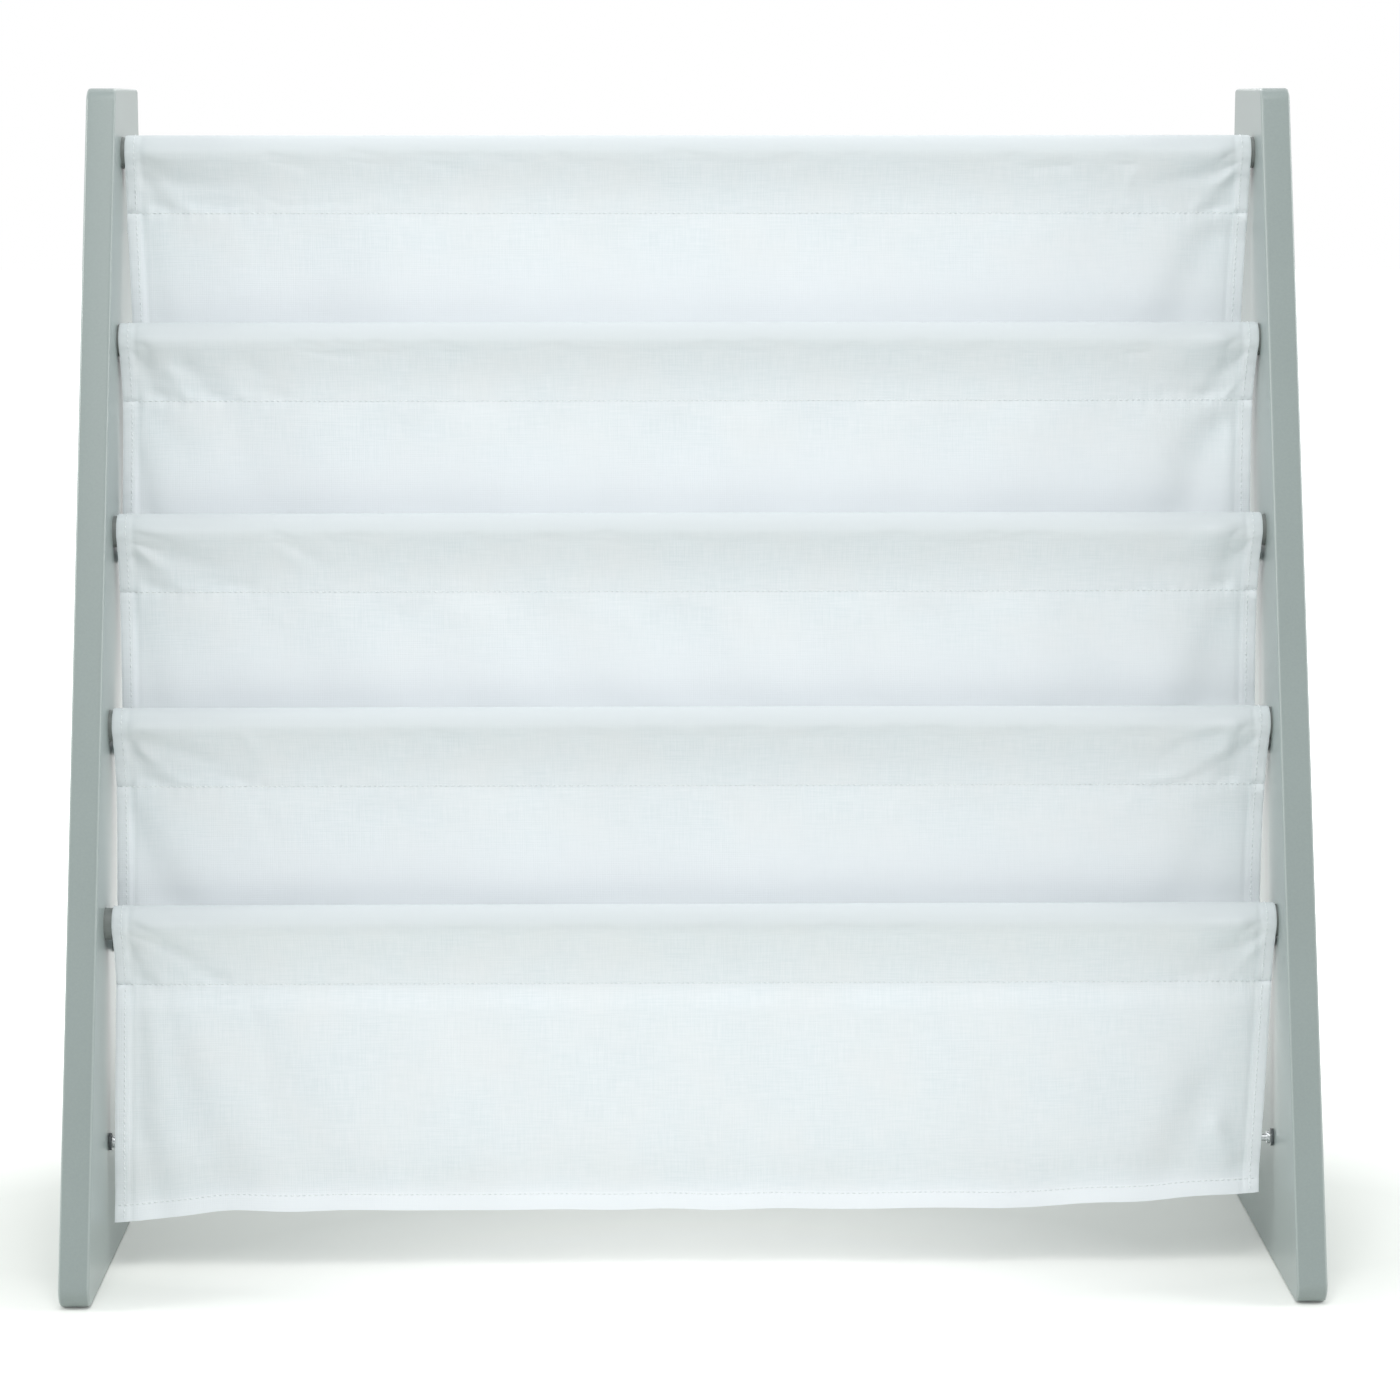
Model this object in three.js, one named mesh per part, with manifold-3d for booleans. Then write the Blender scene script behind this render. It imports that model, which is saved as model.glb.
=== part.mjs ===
// A child's sling bookshelf. Two sloping side panels carry five round rails. One long canvas is
// sewn into a sleeve over each rail and hangs in four pockets between them, each with a steel
// rod lying in its fold, and its front end hangs down as a flap.
//
// Millimetres, +Z up, front towards -Y. The origin is on the floor under the middle of the shelf.

import * as THREE from 'three';
import { mergeVertices } from 'three/addons/utils/BufferGeometryUtils.js';
import Module from 'manifold-3d';

const wasm = await Module();
wasm.setup();

// Frame
const overallWidth = 616;
const overallDepth = 280;
const overallHeight = 586;
const panelThickness = 15;
const topDepth = 87;            // level top edge of a panel, rear face to the sharp front corner
const frontTopRadius = 9;
const frontFootRadius = 9;
const rearCornerRadius = 2.5;
const edgeEase = 1.5;           // rounding run along every edge of a panel

// Rails
const railCount = 5;
const railDiameter = 16;
const railEndChamfer = 0.8;
const railSetback = 33;         // level distance from the sloping front edge to a rail's centre
const topRailDrop = 33;         // top edge of the panel to the centre of the highest rail
const lowestRailHeight = 173;
const railSeatDepth = 4;        // blind seat in the inner face of a panel

// Bolt, threaded insert and cover cap at each end of a rail
const boltDiameter = 6;
const boltLength = 18;          // under the head
const boltTipChamfer = 0.8;
const boltHeadDiameter = 10;
const boltHeadHeight = 3;
const boltHeadChamfer = 0.4;
const hexKeyWidth = 4;
const hexKeyDepth = 2;
const capDiameter = 12;
const capThickness = 1.5;
const capChamfer = 0.4;
const insertDiameter = 9;
const insertLength = 13;
const insertRibDepth = 0.5;

// Pocket rods and the bushes that hold their ends
const rodDiameter = 4;
const rodEndChamfer = 0.5;
const rodDrop = 110.5;          // rail centre down to the centre of the rod in the pocket behind it
const rodForward = 6;           // how far the rod lies ahead of that rail
const collarRim = 1.2;
const collarWidth = 1.5;
const bushWall = 1.4;
const bushDepth = 8;
const bushFlangeRim = 0.8;
const bushFlangeThickness = 1.2;

// Canvas
const clothThickness = 0.9;
const clothSideGap = 2;         // cloth edge to the panel beside a rail
const seamDrop = 31;            // rail centre down to the stitched seam that closes its sleeve
const topHemTail = 10;          // end of the canvas below the seam behind the highest rail
const hemHeight = 29;           // lower edge of the front flap above the floor
const hemDepth = 9;             // turned and stitched hem on that edge
const panelBelly = 2.5;         // how far the middle of a hanging panel stands forward
const sleevePucker = 1.6;       // depth of the folds drawn in at the ends of a sleeve
const puckerReach = 62;         // how far those folds run in from the end of a sleeve
const foldReach = 74;           // width of the soft fold down each side of a hanging panel
const hemWave = 2.2;            // swing of the free lower edge, forward
const hemLeftSag = 8;           // how far its left corner hangs below the middle
const hemRightLift = 5;         // how far its right corner is drawn up
const waveCount = 5;

// Clearances
const fitGap = 0.3;             // between pieces that touch
const cutOverrun = 2;           // how far a cutting shape runs past the face it opens

// Worked out from the above
const innerHalfWidth = overallWidth / 2 - panelThickness;
const railRadius = railDiameter / 2;
const rodRadius = rodDiameter / 2;
const railPitch = (overallHeight - topRailDrop - lowestRailHeight) / (railCount - 1);
const headRecess = capThickness + boltHeadHeight + 2 * fitGap;
const capSeatRadius = capDiameter / 2 + fitGap;
const boltClearRadius = boltDiameter / 2 + fitGap;
const bushRadius = rodRadius + fitGap + bushWall;
const flangeRadius = bushRadius + bushFlangeRim;
const layerPitch = clothThickness + fitGap;      // between the middles of two layers laid together

const paint = (color, roughness) => new THREE.MeshStandardMaterial({ color, roughness, metalness: 0 });
const metal = (color, roughness) => new THREE.MeshStandardMaterial({ color, roughness, metalness: 1 });
const greyPaint = paint(0x9ea8a7, 0.55);
const railPaint = paint(0x8a8f8c, 0.5);
const canvas = paint(0xeceeed, 0.95);
const capPlastic = paint(0x98a2a1, 0.45);
const bushPlastic = paint(0x3c3f40, 0.5);
const zincSteel = metal(0xc4c6c8, 0.35);
const brightSteel = metal(0xd6d8d9, 0.25);

const shelf = new THREE.Group();

// Angle on a circle where a line from a point touches it, on the side that turn picks.
function tangentAngle(point, centre, radius, turn) {
  const away = new THREE.Vector2(point[0] - centre[0], point[1] - centre[1]);
  return away.angle() + turn * Math.acos(radius / away.length());
}

// Side view of a panel in [y, z]. The front edge runs down from the sharp top corner and touches
// the rounding of the foot, whose foremost point is the front of the shelf.
const rear = overallDepth / 2;
const topCorner = [rear - topDepth, overallHeight];
const footCentre = [frontFootRadius - overallDepth / 2, frontFootRadius];
const frontSlope = -Math.tan(tangentAngle(topCorner, footCentre, frontFootRadius, 1));
const frontY = (z) => topCorner[0] - frontSlope * (overallHeight - z);

// Height and depth of rail n, counted from the lowest, which is 0.
const railZ = (n) => lowestRailHeight + n * railPitch;
const railY = (n) => frontY(railZ(n)) + railSetback;
const rodZ = (n) => railZ(n) - rodDrop;
const rodY = (n) => railY(n) - rodForward;

// Merges the shared corners of a geometry, drops flat triangles and turns its faces outward.
function closed(geometry) {
  const bare = geometry.clone();
  bare.deleteAttribute('normal');
  bare.deleteAttribute('uv');
  const merged = mergeVertices(bare);
  const point = merged.getAttribute('position');
  const corner = [0, 1, 2].map(() => new THREE.Vector3());
  const faces = [];
  let volume = 0;
  for (let i = 0; i < merged.index.count; i += 3) {
    const face = [0, 1, 2].map((k) => merged.index.getX(i + k));
    if (face[0] === face[1] || face[1] === face[2] || face[2] === face[0]) continue;
    face.forEach((v, k) => corner[k].fromBufferAttribute(point, v));
    volume += corner[0].dot(corner[1].clone().cross(corner[2]));
    faces.push(face);
  }
  merged.setIndex(faces.map((f) => (volume < 0 ? [f[0], f[2], f[1]] : f)).flat());
  return merged;
}

function toManifold(geometry) {
  const mesh = closed(geometry);
  return new wasm.Manifold(new wasm.Mesh({
    numProp: 3,
    vertProperties: new Float32Array(mesh.getAttribute('position').array),
    triVerts: new Uint32Array(mesh.index.array),
  }));
}

function fromManifold(solid) {
  const mesh = solid.getMesh();
  const geometry = new THREE.BufferGeometry();
  geometry.setAttribute('position', new THREE.BufferAttribute(new Float32Array(mesh.vertProperties), 3));
  geometry.setIndex(Array.from(mesh.triVerts));
  return geometry;
}

// A turned solid about the X axis. Its profile is a list of [distance along X, radius].
function turned(profile, segments) {
  const outline = profile.map(([along, radius]) => new THREE.Vector2(radius, along));
  return new THREE.LatheGeometry(outline, segments).rotateZ(-Math.PI / 2);
}

function addMesh(name, geometry, material, x = 0, y = 0, z = 0, turn = 0) {
  const mesh = new THREE.Mesh(closed(geometry), material);
  mesh.name = name;
  mesh.position.set(x, y, z);
  mesh.rotation.z = turn;
  shelf.add(mesh);
}

// What is fitted at the ends of a bar is drawn for the right end, and turned half round for the left.
const ends = [['left', Math.PI], ['right', 0]];

// Side panels: painted board, one rounded outline with eased edges, bored for rails and rods.
function panelOutline() {
  const corners = [
    [frontY(0), 0, frontFootRadius],
    [rear, 0, rearCornerRadius],
    [rear, overallHeight, rearCornerRadius],
    [...topCorner, frontTopRadius],
  ];
  const towards = (from, to) => new THREE.Vector2(to[0] - from[0], to[1] - from[1]).normalize();
  const outline = new THREE.Shape();
  corners.forEach((corner, k) => {
    const [y, z, radius] = corner;
    const back = towards(corner, corners[(k + corners.length - 1) % corners.length]);
    const ahead = towards(corner, corners[(k + 1) % corners.length]);
    const half = Math.acos(back.dot(ahead)) / 2;
    const inward = back.clone().add(ahead).normalize().multiplyScalar(radius / Math.sin(half));
    const start = back.multiplyScalar(radius / Math.tan(half)).sub(inward);
    const end = ahead.multiplyScalar(radius / Math.tan(half)).sub(inward);
    outline.absarc(y + inward.x, z + inward.y, radius, start.angle(), end.angle(), false);
  });
  outline.closePath();
  return outline;
}

const arcSteps = 6;
const easeSteps = 2;
const panelBlank = new THREE.ExtrudeGeometry(panelOutline(), {
  depth: panelThickness - 2 * edgeEase,
  steps: 1,
  curveSegments: arcSteps,
  bevelEnabled: true,
  bevelThickness: edgeEase,
  bevelSize: edgeEase,
  bevelOffset: -edgeEase,
  bevelSegments: easeSteps,
});
panelBlank.translate(0, 0, edgeEase - panelThickness / 2);
const outlineToWorld = new THREE.Matrix4().makeBasis(
  new THREE.Vector3(0, 1, 0), new THREE.Vector3(0, 0, 1), new THREE.Vector3(1, 0, 0));
panelBlank.applyMatrix4(outlineToWorld);

// One cut for a rail end: seat in the inner face, bolt hole, recess for head and cap outside.
const boreSegments = 16;
const railCut = turned([
  [-panelThickness / 2 - cutOverrun, 0],
  [-panelThickness / 2 - cutOverrun, railRadius + fitGap],
  [-panelThickness / 2 + railSeatDepth, railRadius + fitGap],
  [-panelThickness / 2 + railSeatDepth, boltClearRadius],
  [panelThickness / 2 - headRecess, boltClearRadius],
  [panelThickness / 2 - headRecess, capSeatRadius],
  [panelThickness / 2 + cutOverrun, capSeatRadius],
  [panelThickness / 2 + cutOverrun, 0],
], boreSegments);

const smallSegments = 10;
const rodCut = turned([
  [-panelThickness / 2 - cutOverrun, 0],
  [-panelThickness / 2 - cutOverrun, bushRadius + fitGap],
  [-panelThickness / 2 + bushDepth + fitGap, bushRadius + fitGap],
  [-panelThickness / 2 + bushDepth + fitGap, 0],
], smallSegments);

for (const [word, turn] of ends) {
  let solid = toManifold(panelBlank);
  const cut = (shape, y, z) => {
    solid = solid.subtract(toManifold(shape.clone().rotateZ(turn).translate(0, y, z)));
  };
  for (let n = 0; n < railCount; n += 1) cut(railCut, railY(n), railZ(n));
  for (let n = 0; n < railCount - 1; n += 1) cut(rodCut, rodY(n), rodZ(n));
  const middle = Math.cos(turn) * (overallWidth - panelThickness) / 2;
  addMesh(`side_panel_${word}`, fromManifold(solid), greyPaint, middle);
}

// Rails: round bars bored at both ends for the threaded inserts.
const railSegments = 18;
const railHalf = innerHalfWidth + railSeatDepth - fitGap;
const insertBore = insertDiameter / 2 + fitGap;
const headFace = innerHalfWidth + panelThickness - headRecess + fitGap;
const boltTip = headFace - boltLength;
const insertFace = railHalf - fitGap;
const boreEnd = Math.min(insertFace - insertLength, boltTip) - fitGap;
const rail = turned([
  [-boreEnd, 0],
  [-boreEnd, insertBore],
  [-railHalf, insertBore],
  [-railHalf, railRadius - railEndChamfer],
  [-railHalf + railEndChamfer, railRadius],
  [railHalf - railEndChamfer, railRadius],
  [railHalf, railRadius - railEndChamfer],
  [railHalf, insertBore],
  [boreEnd, insertBore],
  [boreEnd, 0],
], railSegments);
for (let n = 0; n < railCount; n += 1) addMesh(`rail_${n + 1}`, rail, railPaint, 0, railY(n), railZ(n));

// Threaded insert: a ribbed barrel pressed into the end of a rail.
const insertOuter = insertDiameter / 2;
const insertCore = insertOuter - insertRibDepth;
const insertInner = boltDiameter / 2 + fitGap;
const insertSegments = 10;
const insertRibShares = [1, 0.45];                  // rib crests, from the tip up the barrel
const insertProfile = [[insertFace, insertInner]];
insertRibShares.forEach((share, k) => {
  const next = insertRibShares[k + 1] ?? 0;
  insertProfile.push([insertFace - insertLength * (1 - share), insertOuter]);
  insertProfile.push([insertFace - insertLength * (1 - (share + next) / 2), insertCore]);
});
insertProfile.push([insertFace - insertLength, insertCore]);
insertProfile.push([insertFace - insertLength, insertInner]);
insertProfile.push([insertFace, insertInner]);
const insert = turned(insertProfile, insertSegments);

// Bolt: low round head with a hexagon socket, seated on the web left inside the panel.
const headRadius = boltHeadDiameter / 2;
const headOuter = headFace + boltHeadHeight;
const boltRadius = boltDiameter / 2;
const boltBlank = turned([
  [boltTip, 0],
  [boltTip, boltRadius - boltTipChamfer],
  [boltTip + boltTipChamfer, boltRadius],
  [headFace, boltRadius],
  [headFace, headRadius],
  [headOuter - boltHeadChamfer, headRadius],
  [headOuter, headRadius - boltHeadChamfer],
  [headOuter, 0],
], smallSegments);
const hexSides = 6;
const hexCorner = hexKeyWidth / 2 / Math.cos(Math.PI / hexSides);
const hexSocket = turned([
  [headOuter - hexKeyDepth, 0],
  [headOuter - hexKeyDepth, hexCorner],
  [headOuter + cutOverrun, hexCorner],
  [headOuter + cutOverrun, 0],
], hexSides);
const bolt = fromManifold(toManifold(boltBlank).subtract(toManifold(hexSocket)));

// Cover cap: a thin disc pressed flush into the mouth of the recess.
const capOuter = overallWidth / 2 - fitGap;
const cap = turned([
  [capOuter - capThickness + fitGap, 0],
  [capOuter - capThickness + fitGap, capDiameter / 2],
  [capOuter - capChamfer, capDiameter / 2],
  [capOuter, capDiameter / 2 - capChamfer],
  [capOuter, 0],
], boreSegments);

for (const [word, turn] of ends) {
  for (let n = 0; n < railCount; n += 1) {
    addMesh(`threaded_insert_${word}_${n + 1}`, insert, zincSteel, 0, railY(n), railZ(n), turn);
    addMesh(`rail_bolt_${word}_${n + 1}`, bolt, zincSteel, 0, railY(n), railZ(n), turn);
    addMesh(`cover_cap_${word}_${n + 1}`, cap, capPlastic, 0, railY(n), railZ(n), turn);
  }
}

// Pocket rods: bright steel, with a shoulder turned near each end and the tips held in bushes.
const flangeInner = innerHalfWidth - fitGap - bushFlangeThickness;
const collarOuter = flangeInner - fitGap;
const collarInner = collarOuter - collarWidth;
const rodHalf = innerHalfWidth + bushDepth - fitGap;
const collarRadius = rodRadius + collarRim;
const rodSegments = 10;
const rodEnd = [
  [rodHalf, 0],
  [rodHalf, rodRadius - rodEndChamfer],
  [rodHalf - rodEndChamfer, rodRadius],
  [collarOuter, rodRadius],
  [collarOuter, collarRadius],
  [collarInner, collarRadius],
  [collarInner, rodRadius],
];
const otherEnd = rodEnd.map(([along, radius]) => [-along, radius]).reverse();
const pocketRod = turned([...rodEnd, ...otherEnd], rodSegments);
for (let n = 0; n < railCount - 1; n += 1) {
  addMesh(`pocket_rod_${n + 1}`, pocketRod, brightSteel, 0, rodY(n), rodZ(n));
}

// Bush: a flanged plastic sleeve in the inner face of the panel.
const bushEnd = innerHalfWidth + bushDepth;
const bush = turned([
  [flangeInner, rodRadius + fitGap],
  [flangeInner, flangeRadius],
  [flangeInner + bushFlangeThickness, flangeRadius],
  [flangeInner + bushFlangeThickness, bushRadius],
  [bushEnd, bushRadius],
  [bushEnd, rodRadius + fitGap],
  [flangeInner, rodRadius + fitGap],
], smallSegments);
for (const [word, turn] of ends) {
  for (let n = 0; n < railCount - 1; n += 1) {
    addMesh(`rod_bush_${word}_${n + 1}`, bush, bushPlastic, 0, rodY(n), rodZ(n), turn);
  }
}

// The canvas. Each length of it is a sheet: a line of [y, z] points along its middle, swept
// across the shelf. relief moves a point along the sheet's normal, which lies to the left of the
// way that the line runs as seen from -X, and halfWidth, thickness and drop follow the line too.
function clothSheet(line, stationShares, { halfWidth, relief, thickness, drop }) {
  const normals = line.map((point, j) => {
    const before = line[Math.max(j - 1, 0)];
    const after = line[Math.min(j + 1, line.length - 1)];
    const along = new THREE.Vector2(after[0] - before[0], after[1] - before[1]).normalize();
    return [-along.y, along.x];
  });
  const across = stationShares.length;
  const down = line.length;
  const position = [];
  for (const face of [1, -1]) {
    line.forEach(([y, z], j) => {
      for (const share of stationShares) {
        const x = share * halfWidth(j);
        const offset = relief(x, j) + (face * thickness(j)) / 2;
        position.push(x, y + normals[j][0] * offset, z + normals[j][1] * offset - drop(x, j));
      }
    });
  }
  const at = (face, i, j) => (face * down + j) * across + i;
  const index = [];
  const quad = (a, b, c, d) => index.push(a, b, c, a, c, d);
  for (let j = 0; j < down - 1; j += 1) {
    for (let i = 0; i < across - 1; i += 1) {
      quad(at(0, i, j), at(0, i + 1, j), at(0, i + 1, j + 1), at(0, i, j + 1));
      quad(at(1, i, j), at(1, i, j + 1), at(1, i + 1, j + 1), at(1, i + 1, j));
    }
    quad(at(0, 0, j), at(0, 0, j + 1), at(1, 0, j + 1), at(1, 0, j));
    const last = across - 1;
    quad(at(0, last, j), at(1, last, j), at(1, last, j + 1), at(0, last, j + 1));
  }
  for (let i = 0; i < across - 1; i += 1) {
    const last = down - 1;
    quad(at(0, i, 0), at(1, i, 0), at(1, i + 1, 0), at(0, i + 1, 0));
    quad(at(0, i, last), at(0, i + 1, last), at(1, i + 1, last), at(1, i, last));
  }
  const geometry = new THREE.BufferGeometry();
  geometry.setAttribute('position', new THREE.Float32BufferAttribute(position, 3));
  geometry.setIndex(index);
  return geometry;
}

function straight(from, to, steps) {
  const points = [];
  for (let k = 0; k < steps; k += 1) {
    const t = k / steps;
    points.push([from[0] + (to[0] - from[0]) * t, from[1] + (to[1] - from[1]) * t]);
  }
  return points;
}

function arc(centre, radius, start, end, steps) {
  const points = [];
  for (let k = 0; k < steps; k += 1) {
    const angle = start + ((end - start) * k) / steps;
    points.push([centre[0] + radius * Math.cos(angle), centre[1] + radius * Math.sin(angle)]);
  }
  return points;
}

const onCircle = (centre, radius, angle) => arc(centre, radius, angle, angle, 1)[0];

const clothHalf = innerHalfWidth - clothSideGap;
const rodClothHalf = collarInner - fitGap;          // a pocket is narrower, between the shoulders
const sleeveRadius = railRadius + fitGap + clothThickness / 2;
const wrapRadius = rodRadius + fitGap + clothThickness / 2;
const even = () => clothThickness;
const none = () => 0;

// A fold that starts at the edge of the cloth, is deepest halfway in, and dies out at its reach.
function edgeFold(x, half, reach) {
  const inward = half - Math.abs(x);
  return inward < reach ? Math.sin((Math.PI * inward) / reach) : 0;
}

// Sleeve: up the front from the seam, over the rail and back down to the seam. Its lower front
// is drawn in at both ends, where the seam pulls the cloth off the rail.
const sleeveStationShares = [-1, -0.95, -0.88, -0.78, 0, 0.78, 0.88, 0.95, 1];
const sleeveRise = 4;
const sleeveTurn = 10;
const sleeveFall = 2;
function sleeve(n) {
  const centre = [0, 0];
  const seamFront = [-layerPitch / 2, -seamDrop];
  const seamRear = [layerPitch / 2, -seamDrop];
  const touchFront = tangentAngle(seamFront, centre, sleeveRadius, -1);
  const touchRear = Math.PI - touchFront;
  const line = [
    ...straight(seamFront, onCircle(centre, sleeveRadius, touchFront), sleeveRise),
    ...arc(centre, sleeveRadius, touchFront, touchRear, sleeveTurn),
    ...straight(onCircle(centre, sleeveRadius, touchRear), seamRear, sleeveFall),
    seamRear,
  ];
  if (n === railCount - 1) line.push([layerPitch / 2, -seamDrop - topHemTail]);
  const pull = (x, j) => {
    if (j >= sleeveRise) return 0;
    return -sleevePucker * Math.sin((Math.PI * j) / sleeveRise) * edgeFold(x, clothHalf, puckerReach);
  };
  return clothSheet(line, sleeveStationShares, {
    halfWidth: () => clothHalf, relief: pull, thickness: even, drop: none,
  });
}
for (let n = 0; n < railCount; n += 1) {
  addMesh(`canvas_sleeve_${n + 1}`, sleeve(n), canvas, 0, railY(n), railZ(n));
}

// Where the hanging layer in front of rod n runs, level with it and just clear of its wrap.
const aheadOfRod = (n) => rodY(n) - wrapRadius - layerPitch;
const foldDepthShare = 0.9;
const foldStartShare = 0.5;

// How far the middle of a hanging layer stands forward. It is nothing at the seam, and a soft
// fold down each side leads from the end of the seam.
function belly(x, half, share) {
  const rise = Math.sin((Math.PI * share) / 2);
  const reach = foldReach * (foldStartShare + (1 - foldStartShare) * share);
  return panelBelly * rise * (1 - foldDepthShare * edgeFold(x, half, reach));
}

// Pocket n: down from the seam of the rail above, past the rod of the pocket above, under its
// own rod, and up behind its own rail to that rail's seam. Points are measured from rail n.
const pocketStationShares = [-1, -0.955, -0.9, -0.84, -0.75, 0, 0.75, 0.84, 0.9, 0.955, 1];
const showing = 4;
const hidden = 4;
const wrapTurn = 5;
const climb = 3;
function pocket(n) {
  const local = (y, z) => [y - railY(n), z - railZ(n)];
  const top = local(railY(n + 1) - layerPitch / 2, railZ(n + 1) - seamDrop - fitGap);
  const below = local(aheadOfRod(n + 1), rodZ(n + 1));
  const rod = local(rodY(n), rodZ(n));
  const seamRear = [layerPitch / 2, -seamDrop - fitGap];
  const touchRear = tangentAngle(below, rod, wrapRadius, -1);
  const touchFront = tangentAngle(seamRear, rod, wrapRadius, 1);
  const line = [
    ...straight(top, below, showing),
    ...straight(below, onCircle(rod, wrapRadius, touchRear), hidden),
    ...arc(rod, wrapRadius, touchRear, touchFront - 2 * Math.PI, wrapTurn),
    ...straight(onCircle(rod, wrapRadius, touchFront), seamRear, climb),
    seamRear,
  ];
  const back = showing + hidden;
  const narrowing = (j) => Math.sin((Math.PI / 2) * Math.min(j / back, 1, (line.length - 1 - j) / climb));
  const relief = (x, j) => {
    if (j > back) return 0;
    const share = j <= showing ? j / showing : (back - j) / hidden;
    return -belly(x, clothHalf, share);
  };
  return clothSheet(line, pocketStationShares, {
    halfWidth: (j) => clothHalf - (clothHalf - rodClothHalf) * narrowing(j),
    relief,
    thickness: even,
    drop: none,
  });
}
for (let n = 0; n < railCount - 1; n += 1) {
  addMesh(`canvas_pocket_${n + 1}`, pocket(n), canvas, 0, railY(n), railZ(n));
}

// Front flap: hangs from the lowest seam, leans on the lowest pocket and ends in a doubled hem
// whose free edge swings in and out and sags towards the left.
const flapStationShares = [-1, -0.96, -0.91, -0.85, -0.76, -0.62, -0.46, -0.3, -0.14, 0,
  0.14, 0.3, 0.46, 0.62, 0.76, 0.85, 0.91, 0.96, 1];
const flapFall = 4;
const flapFree = 2;
const sagPower = 6;
const liftPower = 2;
function frontFlap() {
  const local = (y, z) => [y - railY(0), z - railZ(0)];
  const top = [-layerPitch / 2, -seamDrop - fitGap];
  const ledge = local(aheadOfRod(0), rodZ(0));
  const hemTop = local(aheadOfRod(0), hemHeight + hemDepth);
  const edge = local(aheadOfRod(0), hemHeight);
  const line = [
    ...straight(top, ledge, flapFall),
    ...straight(ledge, hemTop, flapFree),
    hemTop,
    [edge[0], hemTop[1] - clothThickness],
    edge,
  ];
  const hemStart = line.length - 2;
  const fallen = (j) => Math.min(j / flapFall, 1);
  const swing = (x) => hemWave * (1 + Math.cos((2 * Math.PI * waveCount * x) / (2 * clothHalf))) / 2;
  return clothSheet(line, flapStationShares, {
    halfWidth: (j) => clothHalf - (clothHalf - rodClothHalf) * fallen(j),
    relief: (x, j) => {
      const loose = Math.max(j - flapFall, 0) / (line.length - 1 - flapFall);
      return -belly(x, clothHalf, fallen(j)) - swing(x) * loose;
    },
    thickness: (j) => (j < hemStart ? clothThickness : 2 * clothThickness),
    drop: (x, j) => {
      const left = Math.max(-x, 0) / clothHalf;
      const right = Math.max(x, 0) / clothHalf;
      return ((hemLeftSag * left ** sagPower - hemRightLift * right ** liftPower) * j) / (line.length - 1);
    },
  });
}
addMesh('canvas_front_flap', frontFlap(), canvas, 0, railY(0), railZ(0));

export default shelf;
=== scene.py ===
import math
import random

import bpy
import numpy as np
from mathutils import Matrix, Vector


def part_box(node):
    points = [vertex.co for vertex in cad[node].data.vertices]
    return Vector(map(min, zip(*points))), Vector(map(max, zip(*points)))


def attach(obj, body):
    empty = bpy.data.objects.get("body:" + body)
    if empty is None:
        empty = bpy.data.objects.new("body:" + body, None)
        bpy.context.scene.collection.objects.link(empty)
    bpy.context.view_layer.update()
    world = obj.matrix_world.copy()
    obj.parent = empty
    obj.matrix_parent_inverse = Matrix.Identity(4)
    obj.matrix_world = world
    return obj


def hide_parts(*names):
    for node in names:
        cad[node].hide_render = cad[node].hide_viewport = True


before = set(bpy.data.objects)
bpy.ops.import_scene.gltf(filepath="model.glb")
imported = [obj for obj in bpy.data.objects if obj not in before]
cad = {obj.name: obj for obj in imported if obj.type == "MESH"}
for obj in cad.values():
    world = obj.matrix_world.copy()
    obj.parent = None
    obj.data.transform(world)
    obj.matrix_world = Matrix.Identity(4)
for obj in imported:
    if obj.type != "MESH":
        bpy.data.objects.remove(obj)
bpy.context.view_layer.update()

# Side panels. Two boards of 15 mm medium-density fibreboard, cut to one outline, with rounded
# front corners and every edge eased, then sealed, sanded and sprayed with a satin grey lacquer.
# The rails are bolted between them and hold them upright.
MM = 0.001
ends = ("left", "right")


def linear(sheet_colour):
    """A #rrggbb colour as the linear colour that a shader takes."""
    parts = [int(sheet_colour[k:k + 2], 16) / 255 for k in (1, 3, 5)]
    return [*(c / 12.92 if c <= 0.04045 else ((c + 0.055) / 1.055) ** 2.4 for c in parts), 1.0]


def node(material, kind, inputs=(), **settings):
    """Adds a node. inputs gives each socket, by name or number, a value or another node's output."""
    tree = material.node_tree
    made = tree.nodes.new(kind)
    for name, value in settings.items():
        setattr(made, name, value)
    for socket, value in dict(inputs).items():
        if isinstance(value, bpy.types.NodeSocket):
            tree.links.new(value, made.inputs[socket])
        else:
            made.inputs[socket].default_value = value
    return made


def new_finish(name, inputs):
    """An empty material with one Principled shader, and that shader."""
    material = bpy.data.materials.new(name)
    material.use_nodes = True
    material.node_tree.nodes.clear()
    shader = node(material, "ShaderNodeBsdfPrincipled", inputs)
    node(material, "ShaderNodeOutputMaterial", {"Surface": shader.outputs["BSDF"]})
    return material, shader


def feed(material, shader, **sockets):
    """Links nodes' outputs to the shader's sockets, named with _ for a space."""
    for name, output in sockets.items():
        material.node_tree.links.new(output, shader.inputs[name.replace("_", " ")])


def grains(size):
    """The scale of a noise whose grains are about this many metres across."""
    return 1 / size


def dress(piece, material, ease_angle=50):
    """Gives a CAD piece its finish, and shades its eased edges as round whatever their facets."""
    piece.data.materials.clear()
    piece.data.materials.append(material)
    piece.modifiers.new("join_corners", "WELD").merge_threshold = 0.005 * MM
    piece.modifiers.new("keep_arrises", "EDGE_SPLIT").split_angle = math.radians(ease_angle)
    piece.modifiers.new("round_shading", "WEIGHTED_NORMAL").weight = 90


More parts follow.
